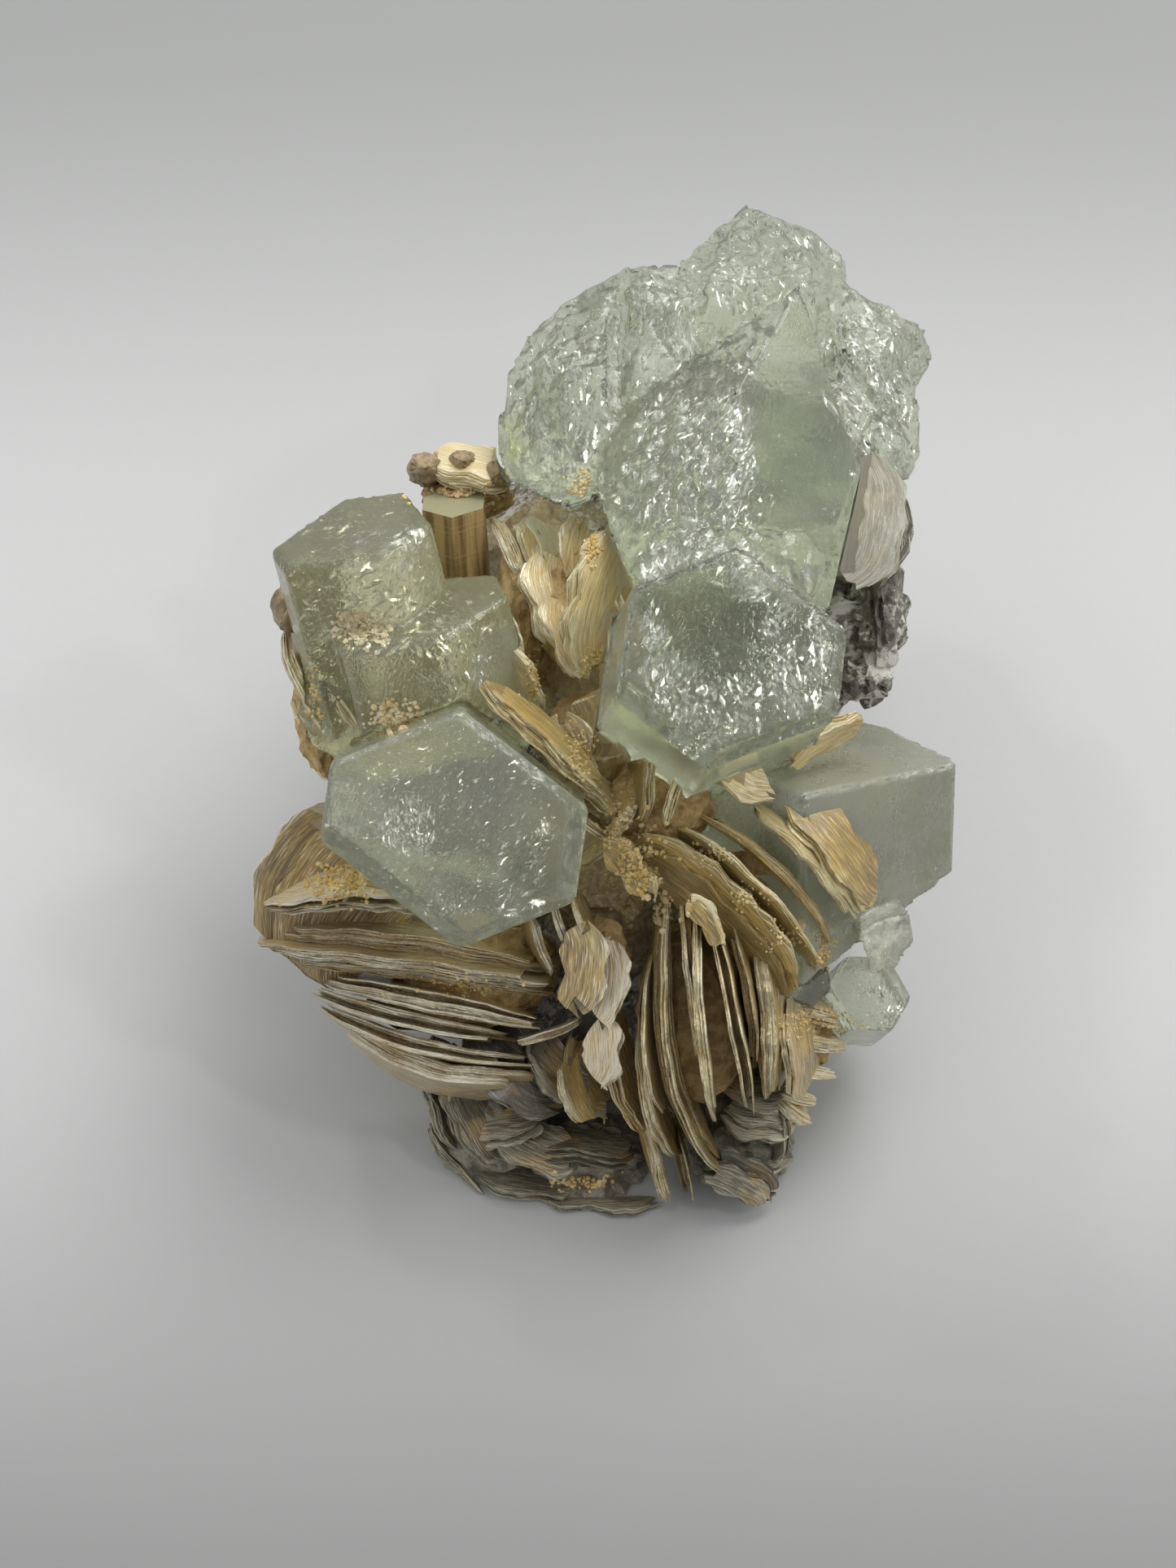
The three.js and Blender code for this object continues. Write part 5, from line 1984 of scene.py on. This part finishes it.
RIGHT_FAN = (
    Book((7.2, -3, 15.4), (22.8, -18.6, 12.5), 1.6, 9, -38, 0.9, 1.5),
    Book((8, -2.2, 15.2), (24, -17.4, 12.5), 1, 10, -20, 1.2, 2),
    Book((10, -2.2, 14.6), (24.4, -16, 12.5), 1, 10, -4, 1.6, 2),
    Book((13.5, -2.6, 14), (25, -15.4, 11.5), 1.4, 9, 24, 1.8, 2),
    Book((16, -3, 13.6), (25, -14.6, 10.5), 1.2, 7, 52, 2, 1.5),
    Book((15, -14.2, 14.2), (11.2, -9.2, 15), 0.8, 3.6, 80),
    Book((18.5, -18.5, 10), (22.5, -13.5, 10.5), 0.7, 5, 60),
)
CENTRE_BOOKS = (
    Book((6.6, 5, 16), (5.8, -5, 15.2), 1.1, 9, -14),
    Book((8.8, 3.6, 16), (6.6, -5, 15.6), 1.1, 9, 8, 0.3),
    Book((5.6, -1, 15), (-0.6, -9.6, 12.6), 1.2, 8, -18, 0.4),
    Book((3.2, -3, 14.2), (8.6, -9.4, 14.4), 0.7, 4.6, -74, 0.5),
    Book((16.6, -4.2, 14.2), (7.2, 0.8, 14.6), 0.9, 5.5, -72, -0.5),
    Book((13.2, 1.4, 16), (23, 2.6, 14), 1, 4, 62, 0.6),
    Book((19.4, 4, 14.4), (27.4, 8.4, 9), 1, 5, -34, 0.4),
)
UPPER_BOOKS = (
    Book((0.4, 26.6, 12), (-4.2, 11, 12.6), 1.6, 6.5, 50, 0.8, 1, swell=1.4, corner=0.5),
    Book((-0.2, 24.2, 11.6), (0.6, 12.6, 12.4), 1.6, 7, 18, -0.8),
    Book((1, 22.4, 12.4), (4.2, 13.4, 13), 0.9, 6, -8, 0.4),
    Book((2.2, 15.8, 14), (3.6, 2, 14.2), 1.8, 7, 0, 0.3),
    Book((-3.4, 27.4, 7), (-4.8, 20.4, 8.2), 0.8, 4.6, 74, 0.3),
    Book((-2.2, 31.6, 10.4), (-0.4, 26.6, 10.8), 0.6, 6),
    Book((-0.6, 31.4, 10.8), (0.6, 27, 11), 0.6, 6, 12),
    Book((-8.4, 22.4, 6), (-5.4, 12, 7.4), 1.1, 6, 62, 0.5, swell=0.6),
    Book((-6.4, 17.4, 8), (-2.6, 9, 9.4), 1.1, 5.4, 56, 0.6, swell=0.8),
    Book((-7.6, 26.4, 5.4), (-5.6, 17, 6.4), 0.9, 5, 30),
    Book((-8, 19, 8.5), (-5.2, 10, 9), 1, 6, -20),
    Book((-7.2, 15, 9.5), (-3, 8, 10.5), 0.9, 6, -30),
)
YELLOW_PLATES = (
    Book((2.2, -2, 12.6), (1.2, 7.6, 11.6), 1, 6.4, 78, 0.4),
    Book((6, 2, 10.4), (5.4, 9.8, 10), 0.8, 7.5, 82),
    Book((-3.5, 0.5, 13.2), (2.6, -4.2, 13.4), 1.1, 7, 20, 0.4),
    Book((-2, -2.5, 13.4), (3.4, -6.6, 13), 0.9, 7, 6),
)
GOLDEN_BLADE = (
    Book((-11.8, 9.2, 17), (0.2, -1.9, 19), 1.6, 7, 20, 0.5),
)
BACK_LEFT_KNOBS = (
    Book((-17, 29.4, 1), (-7.6, 27.4, 2), 1.8, 7, 40, 0.6),
    Book((-10.6, 27.4, 2.6), (-6.4, 18.8, 6), 1.6, 8, 8, 0.6),
    Book((-8.6, 27, 3), (-5, 19.6, 6.4), 1.2, 8, 26, 0.6),
)
LEFT_EDGE_BOOKS = (
    Book((-30.6, 20, 1.5), (-22.4, 3.8, 7.5), 1.6, 9, 24, -0.6, 1),
    Book((-31, 17, -1), (-24.4, 3.4, 4), 1.3, 9, 6, -0.8, 1),
    Book((-29.4, 11, -3), (-25.4, 2.8, 1), 1.4, 8, -10, -0.6),
)
STRIPED_BOOK = (
    Book((31.2, 21.4, -1.5), (32.4, 30.4, -1), 3, 8.4, 62, -0.5, corner=0.2),
    Book((30.6, 18.6, -4), (33.4, 29, -4), 2.2, 9, 50, -0.5, corner=0.2),
    Book((31, 19.4, -0.6), (32.6, 31, -0.8), 1.2, 8, 88, -0.3, corner=0.3),
    Book((30.6, 17.6, 0.4), (32.8, 32, -0.4), 1.6, 9, 112, 0.5, corner=0.45),
)
RIGHT_LEDGE = (
    Book((17.2, -22.4, 6), (28, -25, 1.5), 1.7, 9, 18, 0.6),
    Book((17.6, -24.8, 5.4), (27.4, -26.6, 1), 1.5, 9, 6, 0.2),
    Book((18, -27, 3.6), (26.4, -28.8, 0), 1.4, 8, -4, -0.3),
    Book((18.4, -29.4, 2.4), (24.4, -31.6, -1), 1.3, 8, -10, -0.3),
    Book((18.4, -31.6, 1.2), (23, -35.4, -2), 1.4, 8, 14),
)
BASE_LEFT = (
    Book((-15.2, -26.6, 2.4), (-5.6, -35.6, 1.4), 1.4, 9, 70, 0.6, swell=0.6),
    Book((-8.4, -27.4, 3), (-2.4, -33.4, 2), 1.1, 6, 66, 0.5, swell=0.5),
    Book((-16.4, -30, -0.4), (-11.4, -40, -2.4), 1.4, 8, 58, 0.6),
    Book((-11, -37.6, -1.6), (-2, -41.4, -1.6), 1.2, 7, 60, 0.5),
    Book((-17.8, -27, -1), (-13.2, -39, -4), 1.8, 9, 34, -0.8),
    Book((-14, -37, -3), (-4, -36.4, -0.8), 1.4, 7, 64, 0.4),
    Book((-12.8, -41.4, -4.2), (-0.5, -43.4, -3.6), 1.6, 8, 50, 0.4),
    Book((-6, -42.6, -3.2), (8, -43.2, -2.8), 1.2, 7, 30, -0.4),
    Book((-6.4, -37.8, -0.6), (4.4, -39, 0.3), 1.1, 7, 28, 0.5),
    Book((-16.6, -35, -4), (-9, -43, -5), 1.4, 8, 14, -0.5),
)
BASE_RIGHT = (
    Book((20.8, -38, -2.5), (13.4, -34, 1), 1.2, 6, 70, 0.5),
    Book((12.4, -32.6, 2.4), (20.4, -33.6, 0.6), 1.2, 7, 66, 0.5, swell=0.6),
    Book((13, -35.6, 1), (21, -36.4, -1), 1.1, 6, 60, 0.5, swell=0.4),
    Book((11, -38.6, -1), (21, -39.4, -3.6), 1.3, 7, 44, -0.4),
    Book((12, -40.6, -2.8), (19.6, -41, -4), 1, 6, 26, -0.3),
    Book((20.4, -33, 1), (19.4, -38.6, -1.6), 1.2, 7, -30, 0.4),
)
REAR_BOOKS = (
    Book((-6, -8, 0), (8, -12, 1), 1.6, 17, -10, -1, 1),
    Book((-7, -5, 1.5), (9, -9, 2.5), 1.5, 18, 0, -1, 1),
    Book((-6, -1.5, 2), (12, -5, 3), 1.7, 18, 8, -0.6, 1),
    Book((-4, 2.5, 2), (14, 0, 3), 1.4, 17, 14, 0.4, 1),
    Book((0, 6, 1), (15, 4.5, 2), 1.5, 15, 22, 0.8, 1),
)

SILVER_MICA = MicaFinish(
    "silver_mica",
    rim=(0.90, 0.82, 0.57),
    body=(0.70, 0.54, 0.23),
    stain=(0.52, 0.35, 0.12),
    dark=(0.09, 0.065, 0.035),
    brown=(0.38, 0.26, 0.11),
    painted_shine=(0.95, 0.92, 0.78),
)
WARM_MICA = MicaFinish(
    "warm_mica",
    rim=(0.92, 0.80, 0.46),
    body=(0.70, 0.51, 0.18),
    stain=(0.62, 0.41, 0.12),
    dark=(0.09, 0.065, 0.03),
    brown=(0.38, 0.26, 0.09),
    painted_shine=(0.97, 0.92, 0.69),
)
GOLD_MICA = MicaFinish(
    "golden_mica",
    rim=(0.86, 0.72, 0.35),
    body=(0.73, 0.52, 0.16),
    stain=(0.66, 0.44, 0.12),
    dark=(0.16, 0.115, 0.045),
    brown=(0.46, 0.32, 0.11),
    painted_shine=(0.95, 0.89, 0.63),
)
CREAM_MICA = MicaFinish(
    "cream_mica",
    rim=(0.97, 0.90, 0.62),
    body=(0.93, 0.79, 0.44),
    stain=(0.82, 0.60, 0.23),
    dark=(0.40, 0.30, 0.12),
    brown=(0.74, 0.56, 0.23),
    painted_shine=(0.98, 0.95, 0.78),
    stained=0.3,
)
PALE_MICA = MicaFinish(
    "pale_mica",
    rim=(0.46, 0.445, 0.37),
    body=(0.38, 0.365, 0.285),
    stain=(0.44, 0.37, 0.23),
    dark=(0.15, 0.135, 0.10),
    brown=(0.28, 0.24, 0.165),
    painted_shine=(0.58, 0.56, 0.46),
    stained=0.3,
)
GREY_MICA = MicaFinish(
    "grey_mica",
    rim=(0.35, 0.32, 0.22),
    body=(0.21, 0.185, 0.12),
    stain=(0.40, 0.25, 0.09),
    dark=(0.04, 0.034, 0.025),
    brown=(0.13, 0.11, 0.07),
    painted_shine=(0.64, 0.60, 0.45),
    stained=0.3,
)

# the rear books are drawn on a face of their own, on the hidden side of the rock
REAR_PLACE = (
    Matrix.Translation((4 * MM, 37 * MM, 20 * MM))
    @ Matrix.Rotation(math.radians(180), 4, "Z")
    @ Matrix.Rotation(math.radians(62), 4, "X")
    @ Matrix.Scale(MM, 4)
)

# the last numbers are the points along a leaf, how ragged it is and how deep its slots are
CLUSTERS = (
    MicaCluster("mica_left_fan", Slot.SILVER, SILVER_MICA, LEFT_FAN, 54, 0.8, 2.4, plump=1.25),
    MicaCluster("mica_front_fan", Slot.SILVER, WARM_MICA, FRONT_FAN, 50, 0.8, 2.6, plump=1.12),
    MicaCluster("mica_right_fan", Slot.GOLD, GOLD_MICA, RIGHT_FAN, 48, 0.8, 1.6),
    MicaCluster("mica_centre_plates", Slot.CREAM, SILVER_MICA, CENTRE_PLATES, 28, 1.0),
    MicaCluster("mica_centre_books", Slot.GOLD, GOLD_MICA, CENTRE_BOOKS, 32, 1.0),
    MicaCluster("mica_upper_books", Slot.CREAM, CREAM_MICA, UPPER_BOOKS, 40, 1.0),
    MicaCluster("mica_yellow_plates", Slot.GOLD, GOLD_MICA, YELLOW_PLATES, 28, 1.0),
    MicaCluster("mica_golden_blade", Slot.GOLD, GOLD_MICA, GOLDEN_BLADE, 40),
    MicaCluster("mica_back_left", Slot.CREAM, CREAM_MICA, BACK_LEFT_KNOBS, 32),
    MicaCluster("mica_left_edge", Slot.CREAM, CREAM_MICA, LEFT_EDGE_BOOKS, 48),
    MicaCluster("mica_striped_book", Slot.SILVER, PALE_MICA, STRIPED_BOOK, 40),
    MicaCluster("mica_right_ledge", Slot.CREAM, CREAM_MICA, RIGHT_LEDGE, 32),
    MicaCluster("mica_base_left", Slot.GREY, GREY_MICA, BASE_LEFT, 36, 0.8, 1.0, ripple=0.15),
    MicaCluster("mica_base_right", Slot.GREY, GREY_MICA, BASE_RIGHT, 28, 0.8, 1.0, ripple=0.15),
    MicaCluster("mica_rear_books", Slot.GREY, GREY_MICA, REAR_BOOKS, 44, place=REAR_PLACE),
)

LUMPS = (
    Lumps(
        "mica_matrix",
        BROWN_MATRIX,
        Slot.CREAM,
        Wear(0.8, 0.9, 1.8, 0.25, 2.5, 0.3),
        (
            ((-11, -17.5, 2), (9, 6.5, 7)),
            ((-14, -21.6, 3.4), (9, 3.4, 4.6)),
            ((10.5, -22, 2), (6.5, 10, 6.5)),
            ((1, -17, 5.5), (4, 5, 4)),
            ((17, -8, 4), (6, 6, 6)),
            ((7, -2, 8), (6, 5, 5)),
            ((-1, 17, 3), (5, 7, 5)),
            ((0, 4, 4), (5, 6, 5)),
            ((-6.5, 17, 1), (3.6, 8, 4.2)),
            ((-12, 28.4, -4), (5.5, 3, 5)),
            ((-26, 8, -4), (4, 8, 6)),
            ((20.5, -25.4, -2.5), (5, 3.4, 5)),
        ),
    ),
    Lumps(
        "grey_matrix",
        GREY_FLAKE,
        Slot.GREY,
        Wear(1.4, 0.9, 1.8, 0.25, 2.5, 0.3),
        (
            ((-9.5, -33, -7.5), (7, 7.5, 6)),
            ((-1, -37.5, -9), (8, 5.5, 6)),
            ((15, -35, -6.5), (6.5, 6, 6)),
        ),
    ),
    Lumps(
        "tan_knobs",
        KNOB,
        Slot.CREAM,
        Wear(0.8, 0.4, 1.8, 0.2, 2.5, 0.3),
        (
            ((-16, 31.1, -3), (2.6, 2.3, 5)),
            ((-12.4, 31.8, -2.5), (2.0, 1.9, 5)),
            ((-9, 30.3, -2), (2.0, 2.3, 5)),
            ((-29.5, 17.5, -2), (2.4, 3.2, 4)),
        ),
    ),
    Lumps(
        "rock_shoulder",
        PEGMATITE,
        Slot.ROCK,
        Wear(1.8, 1.6, 3.0, 0.5, 2.5, 0.3),
        (
            ((29.2, 18, -11), (4.6, 8.6, 6.5)),
            ((28, 10.5, -12), (4.4, 4, 6)),
        ),
    ),
)

CRUSTS = (
    Crust(
        "orange_crumbs",
        ORANGE_CRUST,
        Slot.GOLD,
        (
            Patch((-23.8, -9.5, 9), (3.4, 2.2), 240, 0.34),
            Patch((-12.7, -19.4, 11), (5.5, 1.2), 130, 0.28),
            Patch((0.4, 22.6, 12), (0.9, 1.6), 110, 0.26),
            Patch((-0.7, 28.8, 10), (1.2, 1.4), 60, 0.26),
            Patch((0.6, 11.4, 12), (1.3, 1.4), 110, 0.26),
            Patch((-5.2, 10.8, 10), (1.2, 2.6), 90, 0.26),
            Patch((4.5, -7.5, 13), (2.6, 3.2), 220, 0.34),
            Patch((22.7, -16.0, 11), (1.0, 2.2), 70, 0.28),
            Patch((26.2, 7.9, 8), (1.6, 1.1), 80, 0.34),
            Patch((-0.6, -39.8, -1), (3.0, 1.0), 90, 0.32),
            Patch((-26.7, 8.2, 5), (0.9, 3.6), 70, 0.24),
        ),
    ),
    Crust(
        "yellow_crumbs",
        YELLOW_CRUST,
        Slot.GOLD,
        (
            Patch((-0.8, 2.6, 12), (1.6, 2.6), 130, 0.24),
            Patch((11.8, -6.7, 15), (2.0, 1.3), 70, 0.24),
            Patch((15.3, -10.6, 14), (2.0, 1.3), 70, 0.24),
            Patch((18.5, -14.5, 13), (1.8, 1.3), 60, 0.24),
            Patch((21.9, -23.0, 6), (4.0, 1.4), 160, 0.26),
        ),
    ),
    Crust(
        "cream_crumbs",
        CREAM_CRUST,
        Slot.CREAM,
        (
            Patch((-18.7, 6.3, 13), (2.2, 1.6), 180, 0.42),
            Patch((-12.7, 27.7, 4), (3.8, 1.3), 190, 0.42),
            Patch((6.0, -12.1, 13), (2.6, 1.9), 160, 0.42),
            Patch((3.0, -3.5, 14), (2.0, 2.4), 120, 0.34),
        ),
    ),
    Crust(
        "pale_splinters",
        PALE_SPLINTER,
        Slot.CREAM,
        (
            Patch((-21.4, 14.9, 13), (2.2, 1.5), 420, 0.46),
            Patch((-22.6, 15.6, 13), (1.2, 0.8), 160, 0.5),
        ),
        Shape.FLAKE,
        (0.3, 0.25),
    ),
)


@dataclass(frozen=True)
class Studio:
    """Pale floor, soft studio light and the camera."""

    floor_half: float = 1.5
    focal_pixels: float = 5000.0
    image_height: float = 1927.0
    sensor: float = 36.0
    camera_far: float = 0.4
    lit_at: Triple = (0, 0, 0.03)
    bright_side: Triple = (0.1, 0.35, 0.93)
    room: float = 0.76

    def build(self) -> None:
        """Makes them all."""
        self.build_floor()
        self.build_light()
        self.build_camera()

    def build_floor(self) -> None:
        """A wide sheet of pale paper, with painted shade: darker behind the specimen, where the
        light falls off, and darker still before it.
        """
        s = self.floor_half
        mesh = bpy.data.meshes.new("floor")
        mesh.from_pydata([(-s, -s, 0), (s, -s, 0), (s, s, 0), (-s, s, 0)], [], [(0, 1, 2, 3)])
        material = bpy.data.materials.new("paper")
        material.use_nodes = True
        tree = material.node_tree
        place = read(tree, "ShaderNodeTexCoord", result="Object")
        fibre = noise(tree, place, 700.0, 4.0, 0.6)
        colour = mix(tree, fibre * 0.5, (0.55, 0.555, 0.55), (0.59, 0.595, 0.59))
        back = place.parts()[1]
        # painted shade: the paper is painted darker behind the specimen and, more so, before it,
        # where the light falls off
        colour = mix(tree, back.step(0.04, 0.13), colour, (0.32, 0.325, 0.32))
        colour = mix(tree, back.step(0.0, -0.09), colour, (0.245, 0.247, 0.243))
        shader = tree.nodes["Principled BSDF"]
        tree.links.new(colour.socket, shader.inputs["Base Color"])
        shader.inputs["Roughness"].default_value = 0.85
        mesh.materials.append(material)
        new_object("floor", mesh)

    def lamp(self, name: str, place: Triple, size: float, watts: float, colour: Colour) -> None:
        """A square area light aimed at the specimen.

        Args:
            name: Its name.
            place: Where it hangs, in metres.
            size: Its side.
            watts: Its power.
            colour: Its colour.
        """
        light = bpy.data.lights.new(name, "AREA")
        light.energy, light.size, light.color = watts, size, colour
        hung = new_object(name, light)
        hung.location = place
        aim = Vector(self.lit_at) - Vector(place)
        hung.rotation_euler = aim.to_track_quat("-Z", "Y").to_euler()

    def build_light(self) -> None:
        """Soft daylight from the back right and a bright even room, darker behind the camera."""
        world = bpy.data.worlds.new("studio")
        bpy.context.scene.world = world
        world.use_nodes = True
        tree = world.node_tree
        way = read(tree, "ShaderNodeTexCoord", result="Object")
        bright = way.vector("DOT_PRODUCT", tuple(Vector(self.bright_side).normalized()))
        shaded = way.vector("DOT_PRODUCT", tuple(FACE_OUT)).step(0.8, 0.97)
        level = bright.step(-0.3, 0.9) * 0.55 + 0.58
        level = level * (1.0 - shaded * 0.7) * self.room
        background = tree.nodes["Background"]
        background.inputs["Color"].default_value = (0.98, 0.99, 1.0, 1.0)
        tree.links.new(level.socket, background.inputs["Strength"])
        self.lamp("window", WINDOW_AT, 0.4, 2.9, (1.0, 0.99, 0.97))
        self.lamp("fill", (-0.5, -0.25, 0.3), 0.6, 0.45, WHITE)
        self.lamp("spark_left", (-0.22, 0.34, 0.5), 0.05, 0.3, WHITE)
        self.lamp("spark_right", (0.34, -0.12, 0.55), 0.05, 0.3, WHITE)

    def build_camera(self) -> None:
        """A camera square to the display face."""
        camera = bpy.data.cameras.new("camera")
        camera.sensor_width = self.sensor
        camera.lens = self.focal_pixels / self.image_height * self.sensor
        camera.clip_start = 0.01
        seen = new_object("camera", camera)
        seen.location = FACE_TO_BASE.translation + FACE_OUT * self.camera_far
        seen.rotation_euler = (math.radians(FACE_LEAN), 0, 0)
        bpy.context.scene.camera = seen
        bpy.context.scene.view_settings.view_transform = "Standard"


def main() -> None:
    """Builds every part of the specimen in order."""
    logging.basicConfig(level=logging.INFO, format="%(message)s")
    for spare in [o for o in bpy.data.objects if o.name in ("Cube", "Light", "Camera")]:
        bpy.data.objects.remove(spare)
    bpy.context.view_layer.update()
    Studio().build()
    leaves, weather, mica_grain, etching = LeafTree(), WeatherTree(), MicaGrain(), Etching()
    scatter = {shape: ScatterTree(shape) for shape in Shape}
    cutters = Cutters(CUT_GAP)
    solids = [Rock().build(weather)]
    solids.extend(lumps.build(weather, cutters) for lumps in LUMPS)
    for number, cluster in enumerate(CLUSTERS):
        solids.append(cluster.build(leaves, mica_grain, cutters, number))
    cutters.clear()
    for number, crystal in enumerate(CRYSTALS):
        crystal.build(weather, etching, scatter[Shape.FLAKE], solids, number + 1)
    bronze = frame["nodes"]["bronze_prism"]
    bronze.data.materials.clear()
    bronze.data.materials.append(BronzeFinish().make())
    report(bronze)
    skin = surface_of(solids)
    for number, crust in enumerate(CRUSTS):
        crust.build(scatter, skin, number + CRUST_SEED)


if __name__ == "__main__":
    main()
